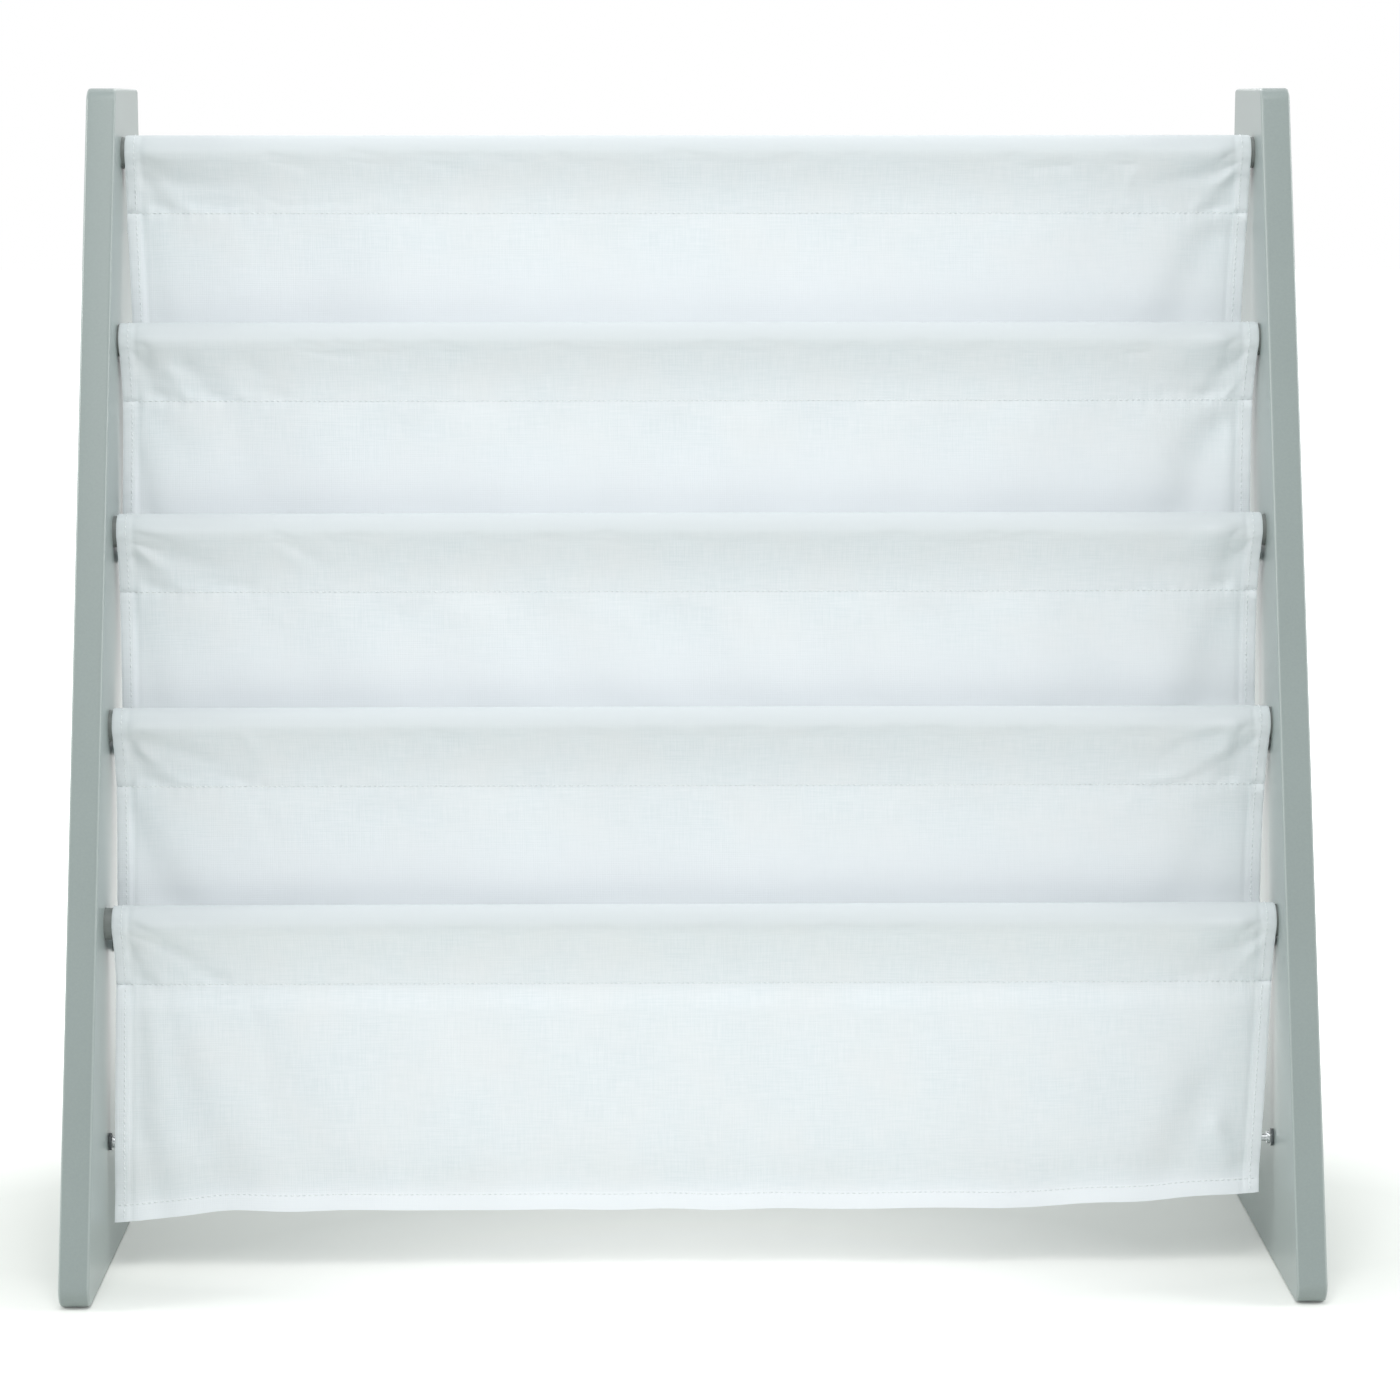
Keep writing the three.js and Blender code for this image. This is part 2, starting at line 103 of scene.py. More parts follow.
lacquer_grey = "#97A29F"
lacquer_deep = "#919C99"
lacquer_thin = "#A9B2AF"        # the coat is thinner and paler over an eased edge
coat_drift = 70 * MM
spray_dimple = 1.1 * MM
dimple_depth = 0.03 * MM
satin_lacquer, shader = new_finish("satin_lacquer_sprayed_on_fibreboard", {"IOR": 1.5})
# Satin: a broad soft sheen that pales the grey towards a lamp, over a skin of fine dimples.
place = node(satin_lacquer, "ShaderNodeTexCoord").outputs["Object"]
drift = node(satin_lacquer, "ShaderNodeTexNoise", {
    "Vector": place, "Scale": grains(coat_drift), "Detail": 2.0})
dimples = node(satin_lacquer, "ShaderNodeTexNoise", {
    "Vector": place, "Scale": grains(spray_dimple), "Detail": 3.0, "Roughness": 0.6})
tone = node(satin_lacquer, "ShaderNodeMixRGB", {
    "Fac": drift.outputs["Fac"], "Color1": linear(lacquer_deep), "Color2": linear(lacquer_grey)})
facing = node(satin_lacquer, "ShaderNodeSeparateXYZ", {
    0: node(satin_lacquer, "ShaderNodeNewGeometry").outputs["Normal"]})
sideways = node(satin_lacquer, "ShaderNodeMath", {
    0: facing.outputs["X"], 1: facing.outputs["X"]}, operation="MULTIPLY")
other_way = node(satin_lacquer, "ShaderNodeMath", {
    0: 1.0, 1: sideways.outputs[0]}, operation="SUBTRACT")
on_ease = node(satin_lacquer, "ShaderNodeMath", {
    0: sideways.outputs[0], 1: other_way.outputs[0]}, operation="MULTIPLY")
thin_coat = node(satin_lacquer, "ShaderNodeMapRange", {
    "Value": on_ease.outputs[0], "From Min": 0.06, "From Max": 0.25, "To Max": 0.8})
eased_tone = node(satin_lacquer, "ShaderNodeMixRGB", {
    "Fac": thin_coat.outputs[0], "Color1": tone.outputs[0], "Color2": linear(lacquer_thin)})
speckle = node(satin_lacquer, "ShaderNodeMapRange", {
    "Value": dimples.outputs["Fac"], "To Min": 0.93, "To Max": 1.07})
speckled = node(satin_lacquer, "ShaderNodeVectorMath", {
    0: eased_tone.outputs[0], "Scale": speckle.outputs[0]}, operation="SCALE")
sheen = node(satin_lacquer, "ShaderNodeMapRange", {
    "Value": drift.outputs["Fac"], "To Min": 0.28, "To Max": 0.34})
dimple_bump = node(satin_lacquer, "ShaderNodeBump", {
    "Height": dimples.outputs["Fac"], "Strength": 0.5, "Distance": dimple_depth})
feed(satin_lacquer, shader, Base_Color=speckled.outputs[0], Roughness=sheen.outputs[0],
     Normal=dimple_bump.outputs["Normal"])

for end in ends:
    dress(cad[f"side_panel_{end}"], satin_lacquer)

# Rails. Five 16 mm beech dowels, each seated 4 mm deep in both panels. They are dipped in the
# same grey as the panels before the canvas is drawn over them, and only their ends stay in view.
tiers = range(1, 6)             # the five rails, counted from the lowest, and all that goes with each
dipped_grey = "#868B88"
dipped_dark = "#7C817E"
turning_marks = 0.8 * MM        # rings that the dowel cutter leaves, across the grain
grain_length = 40 * MM
beech_enamel, shader = new_finish("enamel_dipped_on_beech_dowel", {"IOR": 1.5, "Roughness": 0.45})
# A thin even coat: the long grain shows through it as faint streaks along the dowel.
place = node(beech_enamel, "ShaderNodeTexCoord").outputs["Object"]
along_grain = node(beech_enamel, "ShaderNodeMapping", {
    "Vector": place, "Scale": (grains(grain_length), grains(turning_marks), grains(turning_marks))})
streaks = node(beech_enamel, "ShaderNodeTexNoise", {
    "Vector": along_grain.outputs[0], "Scale": 1.0, "Detail": 3.0})
streak_tone = node(beech_enamel, "ShaderNodeMixRGB", {
    "Fac": streaks.outputs["Fac"], "Color1": linear(dipped_dark), "Color2": linear(dipped_grey)})
streak_bump = node(beech_enamel, "ShaderNodeBump", {
    "Height": streaks.outputs["Fac"], "Strength": 0.4, "Distance": 0.05 * MM})
feed(beech_enamel, shader, Base_Color=streak_tone.outputs[0], Normal=streak_bump.outputs["Normal"])

for n in tiers:
    dress(cad[f"rail_{n}"], beech_enamel)

# Bolts and threaded inserts. A zinc-plated steel insert is driven into each end of a rail, and
# an M6 bolt with a hexagon socket, zinc plated too, draws the rail tight against its panel.
zinc_pale = "#C9CBCC"
zinc_dull = "#A9ACAE"
zinc_spangle = 2.5 * MM
tumble_scratch = 0.4 * MM
zinc_plate, shader = new_finish("bright_zinc_plate_on_steel", {"Metallic": 1.0})
# Plated small parts are tumbled together: a pale metal, clouded and very finely scratched.
place = node(zinc_plate, "ShaderNodeTexCoord").outputs["Object"]
clouds = node(zinc_plate, "ShaderNodeTexNoise", {
    "Vector": place, "Scale": grains(zinc_spangle), "Detail": 2.0})
scratches = node(zinc_plate, "ShaderNodeTexNoise", {
    "Vector": place, "Scale": grains(tumble_scratch), "Detail": 4.0})
zinc_tone = node(zinc_plate, "ShaderNodeMixRGB", {
    "Fac": clouds.outputs["Fac"], "Color1": linear(zinc_dull), "Color2": linear(zinc_pale)})
zinc_rough = node(zinc_plate, "ShaderNodeMapRange", {
    "Value": clouds.outputs["Fac"], "To Min": 0.28, "To Max": 0.42})
scratch_bump = node(zinc_plate, "ShaderNodeBump", {
    "Height": scratches.outputs["Fac"], "Strength": 0.3, "Distance": 0.01 * MM})
feed(zinc_plate, shader, Base_Color=zinc_tone.outputs[0], Roughness=zinc_rough.outputs[0],
     Normal=scratch_bump.outputs["Normal"])

for n in tiers:
    for end in ends:
        dress(cad[f"threaded_insert_{end}_{n}"], zinc_plate)
        dress(cad[f"rail_bolt_{end}_{n}"], zinc_plate)

# Cover caps. Discs of grey ABS, moulded with a fine spark texture and pressed flush into the
# recess over each bolt head, a shade off the lacquer round them.
cap_grey = "#9AA4A2"
cap_shade = "#949E9C"
spark_texture = 0.35 * MM
abs_cap, shader = new_finish("abs_moulded_spark_texture", {"IOR": 1.53, "Roughness": 0.5})
# Moulded ABS: even colour, with a fine matt grain that breaks up its highlight.
place = node(abs_cap, "ShaderNodeTexCoord").outputs["Object"]
sparks = node(abs_cap, "ShaderNodeTexNoise", {
    "Vector": place, "Scale": grains(spark_texture), "Detail": 1.0})
cap_tone = node(abs_cap, "ShaderNodeMixRGB", {
    "Fac": sparks.outputs["Fac"], "Color1": linear(cap_shade), "Color2": linear(cap_grey)})
spark_bump = node(abs_cap, "ShaderNodeBump", {
    "Height": sparks.outputs["Fac"], "Strength": 0.5, "Distance": 0.02 * MM})
feed(abs_cap, shader, Base_Color=cap_tone.outputs[0], Normal=spark_bump.outputs["Normal"])

for n in tiers:
    for end in ends:
        dress(cad[f"cover_cap_{end}_{n}"], abs_cap)

# Pocket rods. Bright drawn 4 mm steel wire, cut to length with a shoulder pressed on near each
# end. Each one lies loose in the bottom fold of a pocket and keeps it stretched flat.
pockets = range(1, 5)           # each has the number of the rail just above its rod
wire_bright = "#D9DBDC"
wire_dull = "#C3C6C8"
draw_line_length = 25 * MM
draw_line_width = 0.25 * MM
drawn_steel, shader = new_finish("bright_drawn_steel_wire", {"Metallic": 1.0})
# Drawn through a die: fine lines run along the wire, so that its highlight is long and streaky.
place = node(drawn_steel, "ShaderNodeTexCoord").outputs["Object"]
along_wire = node(drawn_steel, "ShaderNodeMapping", {
    "Vector": place,
    "Scale": (grains(draw_line_length), grains(draw_line_width), grains(draw_line_width))})
draw_lines = node(drawn_steel, "ShaderNodeTexNoise", {
    "Vector": along_wire.outputs[0], "Scale": 1.0, "Detail": 2.0})
wire_tone = node(drawn_steel, "ShaderNodeMixRGB", {
    "Fac": draw_lines.outputs["Fac"], "Color1": linear(wire_dull), "Color2": linear(wire_bright)})
wire_rough = node(drawn_steel, "ShaderNodeMapRange", {
    "Value": draw_lines.outputs["Fac"], "To Min": 0.2, "To Max": 0.34})
draw_bump = node(drawn_steel, "ShaderNodeBump", {
    "Height": draw_lines.outputs["Fac"], "Strength": 0.3, "Distance": 0.01 * MM})
feed(drawn_steel, shader, Base_Color=wire_tone.outputs[0], Roughness=wire_rough.outputs[0],
     Normal=draw_bump.outputs["Normal"])

for n in pockets:
    dress(cad[f"pocket_rod_{n}"], drawn_steel)

# Bushes. Flanged sleeves of pale grey nylon, pushed into the inner face of each panel for a rod's
# tip to rest in. Their rims are painted dark, a painted shadow of the gap round each flange.
# Mottled painted shadow for the rims, and the pale nylon's own colour for the flange's face.
rim_shadow_dark = "#4E5456"
rim_shadow_light = "#5A6062"
nylon_face_pale = "#CDD2D0"
nylon_mottle = 1.5 * MM
nylon_with_rim_shadow, shader = new_finish("nylon_moulded_pale_painted_rim_shadow", {"IOR": 1.53})
# Moulded nylon with a waxy half-gloss: the pale nylon shows on the flange's face, and its rim carries a
# painted shadow.
place = node(nylon_with_rim_shadow, "ShaderNodeTexCoord").outputs["Object"]
mottle = node(nylon_with_rim_shadow, "ShaderNodeTexNoise", {
    "Vector": place, "Scale": grains(nylon_mottle), "Detail": 2.0})
rim_shadow_tone = node(nylon_with_rim_shadow, "ShaderNodeMixRGB", {
    "Fac": mottle.outputs["Fac"], "Color1": linear(rim_shadow_dark), "Color2": linear(rim_shadow_light)})
facing = node(nylon_with_rim_shadow, "ShaderNodeSeparateXYZ", {
    0: node(nylon_with_rim_shadow, "ShaderNodeNewGeometry").outputs["Normal"]})
along_rod = node(nylon_with_rim_shadow, "ShaderNodeMath", {0: facing.outputs["X"]}, operation="ABSOLUTE")
# The flange's face, turned along the rod, keeps the pale nylon; the rim gets the painted shadow.
flange_face = node(nylon_with_rim_shadow, "ShaderNodeMapRange", {
    "Value": along_rod.outputs[0], "From Min": 0.7, "From Max": 0.95, "To Min": 0.0, "To Max": 0.9})
ring_tone = node(nylon_with_rim_shadow, "ShaderNodeMixRGB", {
    "Fac": flange_face.outputs[0], "Color1": rim_shadow_tone.outputs[0], "Color2": linear(nylon_face_pale)})
nylon_rough = node(nylon_with_rim_shadow, "ShaderNodeMapRange", {
    "Value": mottle.outputs["Fac"], "To Min": 0.36, "To Max": 0.5})
nylon_bump = node(nylon_with_rim_shadow, "ShaderNodeBump", {
    "Height": mottle.outputs["Fac"], "Strength": 0.3, "Distance": 0.02 * MM})
feed(nylon_with_rim_shadow, shader, Base_Color=ring_tone.outputs[0], Roughness=nylon_rough.outputs[0],
     Normal=nylon_bump.outputs["Normal"])

for n in pockets:
    for end in ends:
        dress(cad[f"rod_bush_{end}_{n}"], nylon_with_rim_shadow)

# Stitches. White core-spun thread in a lockstitch: one row through both layers of each seam, one
# down each side hem and one along the flap's hem. Every stitch is a short bead of thread that
# dips into the cloth at both ends. Its sizes are in millimetres.
stitch_pitch = 3.0
stitch_length = 2.3
thread_radius = 0.21
stitch_rise = 0.20
thread_corners = 6
thread_white = "#F3F6F6"
thread_shade = "#DDE3E4"
ply_length = 1.2 * MM
cotton_thread, shader = new_finish("cotton_core_spun_thread", {
    "IOR": 1.5, "Roughness": 0.75, "Sheen Weight": 0.1})
# Twisted plies: short pale and dark slants along the thread, with a soft shine.
place = node(cotton_thread, "ShaderNodeTexCoord").outputs["Object"]
plies = node(cotton_thread, "ShaderNodeTexWave", {
    "Vector": place, "Scale": math.tau / 20 / ply_length, "Distortion": 0.5},
    bands_direction="DIAGONAL").outputs["Fac"]
ply_tone = node(cotton_thread, "ShaderNodeMixRGB", {
    "Fac": plies, "Color1": linear(thread_shade), "Color2": linear(thread_white)})
ply_bump = node(cotton_thread, "ShaderNodeBump", {"Height": plies, "Strength": 0.5, "Distance": 0.08 * MM})
feed(cotton_thread, shader, Base_Color=ply_tone.outputs[0], Normal=ply_bump.outputs["Normal"])


def stitch_row(places, normals):
    """Vertices and faces of the stitches along a line of places, standing along the normals."""
    steps = np.linalg.norm(np.diff(places, axis=0), axis=1)
    run = np.concatenate([[0], np.cumsum(steps)])
    starts = np.arange(stitch_pitch / 2, run[-1] - stitch_length, stitch_pitch)
    shares = np.array([0, 0.12, 0.35, 0.65, 0.88, 1])
    thick_shares = np.array([0.35, 0.85, 1, 1, 0.85, 0.35])
    rise = stitch_rise * np.array([-1, 0.2, 1, 1, 0.2, -1])
    at = starts[:, None] + stitch_length * shares
    middle = np.stack([np.interp(at, run, places[:, k]) for k in range(3)], 2)
    up = np.stack([np.interp(at, run, normals[:, k]) for k in range(3)], 2)
    up /= np.linalg.norm(up, axis=2)[..., None]
    ahead = middle[:, -1:] - middle[:, :1]
    ahead = ahead / np.linalg.norm(ahead, axis=2)[..., None]
    aside = np.cross(ahead, up)
    middle = middle + up * rise[:, None]
    turns = np.arange(thread_corners) / thread_corners * math.tau
    radius = thread_radius * thick_shares[:, None, None]
    ring = (middle[:, :, None] + radius * (np.cos(turns)[:, None] * aside[:, :, None]
                                           + np.sin(turns)[:, None] * up[:, :, None]))
    count, rings = ring.shape[:2]
    number = np.arange(count * rings * thread_corners).reshape(count, rings, thread_corners)
    after = np.roll(number, -1, axis=2)
    sides = np.stack([number[:, :-1], after[:, :-1], after[:, 1:], number[:, 1:]], 3).reshape(-1, 4)
    caps = np.concatenate([number[:, 0, ::-1], number[:, -1]])
    return ring.reshape(-1, 3), [*sides.tolist(), *caps.tolist()]


def stitches(name, rows):
    """One piece of thread for the rows of stitches on a sheet."""
    points, faces = [], []
    for places, normals in rows:
        row_points, row_faces = stitch_row(places, normals)
        first = sum(len(p) for p in points)
        faces += [[corner + first for corner in face] for face in row_faces]
        points.append(row_points)
    mesh = bpy.data.meshes.new(name)
    mesh.from_pydata((np.concatenate(points) * MM).tolist(), [], faces)
    mesh.polygons.foreach_set("use_smooth", np.ones(len(mesh.polygons), bool))
    mesh.update()
    piece = bpy.data.objects.new(name, mesh)
    bpy.context.scene.collection.objects.link(piece)
    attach(piece, "root")
    piece.data.materials.append(cotton_thread)
    return piece


# Canvas sling. One length of plain woven white cotton canvas, hemmed down both sides. It is
# folded over each rail and sewn through below it, which closes a sleeve round the rail, and
# between two rails it hangs in a pocket with a rod in the fold. Every stretch is one piece here.

# All that follows for the canvas is in millimetres. A place on the side view is [y, z], depth is
# measured down from the rail's centre, and "in from an edge" is measured along the width.
canvas_gauge = 0.6              # thickness of the cloth
sleeve_wrap = 8.75              # rail's centre to the middle of the cloth on it
seam_depth = 31
layer_apart = 1.2               # between the two layers that a seam holds together
rod_wrap = 2.75                 # rod's centre to the middle of the cloth under it
cut_half = 291                  # half the width that the cloth is cut and hemmed to
side_hem = 6.6                  # turned to the back and stitched, down both sides
hem_stitch_in = 5.0
hem_fold = 9.0                  # the same along the flap's free edge and the top end
hem_step = 0.6                  # half the run over which a hem steps down to the single cloth
turned_share = 0.9              # how much of its thickness a hem's turned layer adds
flap_edge_height = 29.4
top_tail = 10
edge_round = 0.22               # by which a folded edge is rounded off, on each face


def centre_of(name):
    """[y, z] of a CAD bar's centre, in millimetres."""
    low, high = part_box(name)
    return np.array([(low.y + high.y) / 2, (low.z + high.z) / 2]) / MM


rail = {n: centre_of(f"rail_{n}") for n in tiers}
rod = {n: centre_of(f"pocket_rod_{n}") for n in pockets}
rail_step = rail[2] - rail[1]
rod[5] = rod[4] + rail_step     # where a fifth rod would be: the top panel hangs like the others


def curved(start, start_pull, end_pull, end, step):
    """Points about step apart on a Bezier curve, without its end."""
    count = max(2, round(np.linalg.norm(np.subtract(end, start)) / step))
    t = np.linspace(0, 1, count, endpoint=False)[:, None]
    weights = ((1 - t) ** 3, 3 * t * (1 - t) ** 2, 3 * t ** 2 * (1 - t), t ** 3)
    corners = (start, np.add(start, start_pull), np.add(end, end_pull), end)
    return sum(w * np.asarray(c, float) for w, c in zip(weights, corners))


def round_bar(centre, radius, start, end, step):
    """Points about step apart round a bar, from one angle in degrees to another, without the last."""
    count = max(3, round(abs(math.radians(end - start)) * radius / step))
    angle = np.radians(np.linspace(start, end, count, endpoint=False))
    return centre + radius * np.stack([np.cos(angle), np.sin(angle)], 1)


def on_bar(centre, radius, angle):
    return centre + radius * np.array([math.cos(math.radians(angle)), math.sin(math.radians(angle))])


def heading(angle):
    """A step of one millimetre in the side view, 0 to the rear and 90 up."""
    return np.array([math.cos(math.radians(angle)), math.sin(math.radians(angle))])


# The cloth leaves a rail this far past its foremost point and bends in towards the seam, so that
# the sleeve is darkest just below the rail and pales towards its seam.
leave_angle = 26
seam_lean = 1
bend_ahead = 3                  # a hanging panel passes this far ahead of the pocket behind it
bend_heading = 82
seam_heading = 89
flap_heading = 84
flap_seam_heading = 86
tail_shares = (0.15, 0.3, 0.45, 0.6, 0.75, 0.9, 1)
fine, medium, coarse = 1.0, 2.4, 4.0        # spacing of the mesh's rows


def seam_front(n):
    return rail[n] + [-layer_apart / 2, -seam_depth]


def seam_rear(n):
    return rail[n] + [layer_apart / 2, -seam_depth]


def sleeve_line(n):
    leave, arrive = 180 + leave_angle, -leave_angle
    off_rail, on_rail = on_bar(rail[n], sleeve_wrap, leave), on_bar(rail[n], sleeve_wrap, arrive)
    rail_pull, seam_pull = 6, 13
    parts = [
        curved(seam_front(n), seam_pull * heading(90 + seam_lean), rail_pull * heading(leave + 90),
               off_rail, fine),
        round_bar(rail[n], sleeve_wrap, leave, arrive, fine),
        curved(on_rail, rail_pull * heading(arrive - 90), seam_pull * heading(90 - seam_lean),
               seam_rear(n), medium),
        [seam_rear(n)],
    ]
    if n == 5:
        parts += [[seam_rear(n) - [0, top_tail * share]] for share in tail_shares]
    return np.concatenate(parts)


def ahead_of_rod(n):
    return rod[n] - [rod_wrap + layer_apart, 0]


def touch(point, centre, radius, side):
    """Angle, in degrees, where a line from the point touches a bar."""
    away = np.subtract(point, centre)
    return math.degrees(math.atan2(away[1], away[0]) + side * math.acos(radius / np.linalg.norm(away)))


def pocket_line(n):
    """From the rear layer of its rail's seam, under its rod, and up to the seam of the next rail."""
    meets = touch(seam_rear(n), rod[n], rod_wrap, 1)
    parts_from = touch(ahead_of_rod(n + 1), rod[n], rod_wrap, -1)
    on_rod = on_bar(rod[n], rod_wrap, meets)
    off_rod = on_bar(rod[n], rod_wrap, parts_from)
    bend = ahead_of_rod(n + 1) - [bend_ahead, 0]
    rod_pull, bend_pull, seam_pull = 20, 12, 28
    if parts_from < meets:
        parts_from += 360
    return np.concatenate([
        curved(seam_rear(n), -rod_pull * heading(90), rod_pull * heading(meets + 90), on_rod, medium),
        round_bar(rod[n], rod_wrap, meets, parts_from, fine),
        curved(off_rod, rod_pull * heading(parts_from + 90), -rod_pull * heading(bend_heading),
               bend, coarse),
        curved(bend, bend_pull * heading(bend_heading), -seam_pull * heading(seam_heading),
               seam_front(n + 1), medium),
        [seam_front(n + 1)],
    ])


def flap_line():
    # The edge and the top of its hem hang this far ahead of the cloth at the lowest rod.
    edge_ahead, hem_ahead = 2.2, 1.0
    pull = 14
    edge = np.array([ahead_of_rod(1)[0] - edge_ahead, flap_edge_height])
    hem_top = np.array([ahead_of_rod(1)[0] - hem_ahead, flap_edge_height + hem_fold])
    return np.concatenate([
        curved(edge, heading(flap_heading), -heading(flap_heading), hem_top, fine),
        curved(hem_top, pull * heading(flap_heading), -pull * heading(flap_heading), ahead_of_rod(1), medium),
        curved(ahead_of_rod(1), pull * heading(flap_heading), -pull * heading(flap_seam_heading),
               seam_front(1), medium),
        [seam_front(1)],
    ])


# The cloth is cut to one width, and its side edges are drawn in from the widest that it gets: so
# much at the rail, at the seam, and at the foot of the panel or flap that hangs below.
widest_half = 292
drawn_in = {
    (1, -1): (3, 3.5, 2.5), (1, 1): (0, 0.5, 7),
    (2, -1): (1, 1.5, 1.5), (2, 1): (0, 1, 3),
    (3, -1): (1, 1, 2), (3, 1): (1, 2, 2.5),
    (4, -1): (0, 0.5, 0), (4, 1): (0, 1.5, 2.5),
    (5, -1): (1, 0.5, 3), (5, 1): (1, 1, 4),
}
panel_foot = 87
flap_foot = 140
usual_half = 289
rod_depth = 110.5
inside_flap = 3                 # by which the lowest pocket is narrower at the flap's right edge


def reach_at_rod(n, side):
    """A pocket is narrower at its rod, and the lowest one keeps within the flap's right edge."""
    return usual_half - (inside_flap if (n, side) == (1, 1) else 0)


def reach(n, side, depth):
    """Half the cloth's width on one side of a tier."""
    foot = flap_foot if n == 1 else panel_foot
    places = [0, seam_depth, foot]
    widths = [widest_half - amount for amount in drawn_in[n, side]]
    if n > 1:
        places += [rod_depth, rod_depth + rail_step[1]]
        widths += [usual_half, reach_at_rod(n - 1, side)]
    return np.interp(depth, places, widths)


# Folds that fan out from the upper corners of each sleeve, where the stiff hem holds the cloth off
# the rail. Each is a line of places [in from the edge, depth], then how far it stands out, below
# 0 for a valley, and how wide it is, both at its start and at its end.
corner_folds = {
    (1, -1): (
        (((13, 0), (38, 1)), (0.6, 0.3), (7, 8)),
        (((11, 1), (30, 14), (54, 31)), (-1.9, -1.3), (3.6, 4.6)),
        (((12, 16), (24, 29)), (0.8, 0.6), (3, 4)),
        (((9, 14), (14, 31)), (-1.3, -1.4), (4, 5)),
    ),
    (2, -1): (
        (((13, 0), (44, 2)), (0.6, 0.3), (7, 8)),
        (((14, 5), (34, 12), (64, 28)), (-1.0, -0.9), (3.4, 6)),
        (((13, 12), (24, 22), (38, 31)), (1.0, 0.6), (3, 3.4)),
        (((9, 10), (14, 22), (22, 31)), (-1.6, -1.2), (4, 5)),
        (((67, 4), (78, 26)), (0.6, 0.5), (3, 4)),
    ),
    (3, -1): (
        (((13, -1), (50, 1)), (0.7, 0.3), (7, 8)),
        (((11, 3), (26, 10), (62, 28)), (-2.1, -1.0), (4, 8)),
        (((12, 9), (21, 18), (34, 30)), (0.8, 0.6), (3.2, 4)),
        (((8, 15), (12, 22), (20, 31)), (-1.3, -1.1), (4, 5)),
        (((80, 1), (91, 8), (106, 20)), (-0.9, -0.4), (2.6, 4)),
        (((84, 9), (94, 18)), (0.5, 0.3), (4, 5)),
    ),
    (4, -1): (
        (((15, 0), (52, 2)), (0.7, 0.3), (7, 9)),
        (((11, 6), (13, 18), (21, 32)), (-2.3, -1.4), (4.6, 5)),
        (((25, 16), (34, 31)), (0.9, 0.9), (3.4, 3.4)),
        (((33, 12), (40, 20), (50, 32)), (-1.2, -1.1), (5, 5)),
        (((54, 18), (64, 32)), (0.6, 0.6), (4, 4)),
        (((66, 12), (82, 32)), (-0.6, -0.7), (5, 6)),
        (((93, 2), (106, 6), (122, 8)), (-0.9, -0.6), (2.6, 3)),
    ),
    (5, -1): (
        (((13, 0), (60, 2)), (0.6, 0.2), (7, 8)),
        (((11, 5), (24, 14), (48, 24)), (-0.9, -0.7), (3.4, 8)),
        (((16, 19), (60, 18)), (-1.3, -0.9), (9, 9)),
        (((18, 19), (32, 29)), (1.0, 0.7), (4, 4)),
        (((9, 12), (13, 20), (21, 31)), (-1.0, -0.9), (4.4, 5)),
        (((66, 20), (80, 27), (112, 25)), (-0.4, -0.3), (1.6, 1.6)),
        (((75, 2), (93, 7)), (-0.8, -0.5), (2.2, 3)),
    ),
    (1, 1): (
        (((19, -2), (46, 2)), (1.0, 0.4), (7, 9)),
        (((9, 4), (20, 14), (44, 29)), (-2.6, -1.0), (4, 8)),
        (((10, 14), (18, 24)), (0.9, 0.5), (3, 3)),
    ),
    (2, 1): (
        (((20, -2), (34, 2)), (1.0, 0.5), (7, 8)),
        (((10, 4), (13, 12), (19, 26)), (-2.8, -1.5), (4.4, 6)),
        (((26, 4), (43, 9), (51, 16)), (-0.9, -0.5), (3, 4)),
        (((22, 13), (40, 24), (62, 31)), (1.2, 0.6), (4.6, 4)),
        (((24, 21), (39, 28)), (-0.7, -0.5), (2.6, 3)),
        (((60, 4), (72, 4)), (-0.5, -0.5), (3, 3)),
    ),
    (3, 1): (
        (((23, -2), (36, 12)), (1.0, 0.6), (8, 9)),
        (((10, 4), (13, 13), (17, 26)), (-2.8, -1.6), (5, 7)),
        (((12, 27), (9, 33)), (0.6, 0.5), (3, 3)),
        (((36, 16), (50, 20)), (-0.6, -0.4), (6, 5)),
    ),
    (4, 1): (
        (((22, -2), (40, 8)), (1.0, 0.6), (8, 10)),
        (((10, 5), (14, 15), (25, 29)), (-2.9, -1.6), (5, 5.4)),
        (((9, 22), (15, 30)), (0.6, 0.5), (1.6, 1.6)),
        (((33, 22), (46, 28)), (-0.6, -0.5), (7, 6)),
        (((58, 5), (66, 6)), (-0.7, -0.7), (3, 3)),
    ),
    (5, 1): (
        (((18, -2), (50, 1)), (1.0, 0.4), (7, 9)),
        (((9, 3), (16, 9), (32, 13), (48, 17)), (-2.4, -0.3), (3.4, 5)),
        (((10, 10), (19, 19), (27, 28)), (1.1, 0.7), (3.4, 4)),
        (((8, 18), (13, 25), (19, 31)), (-1.5, -1.5), (5, 6)),
        (((62, 5), (70, 4)), (-0.8, -0.8), (3, 3)),
        (((94, 6), (114, 8)), (-0.8, -0.6), (2.8, 3)),
        (((62, 12), (63, 26)), (0.5, 0.4), (3, 3)),
    ),
}

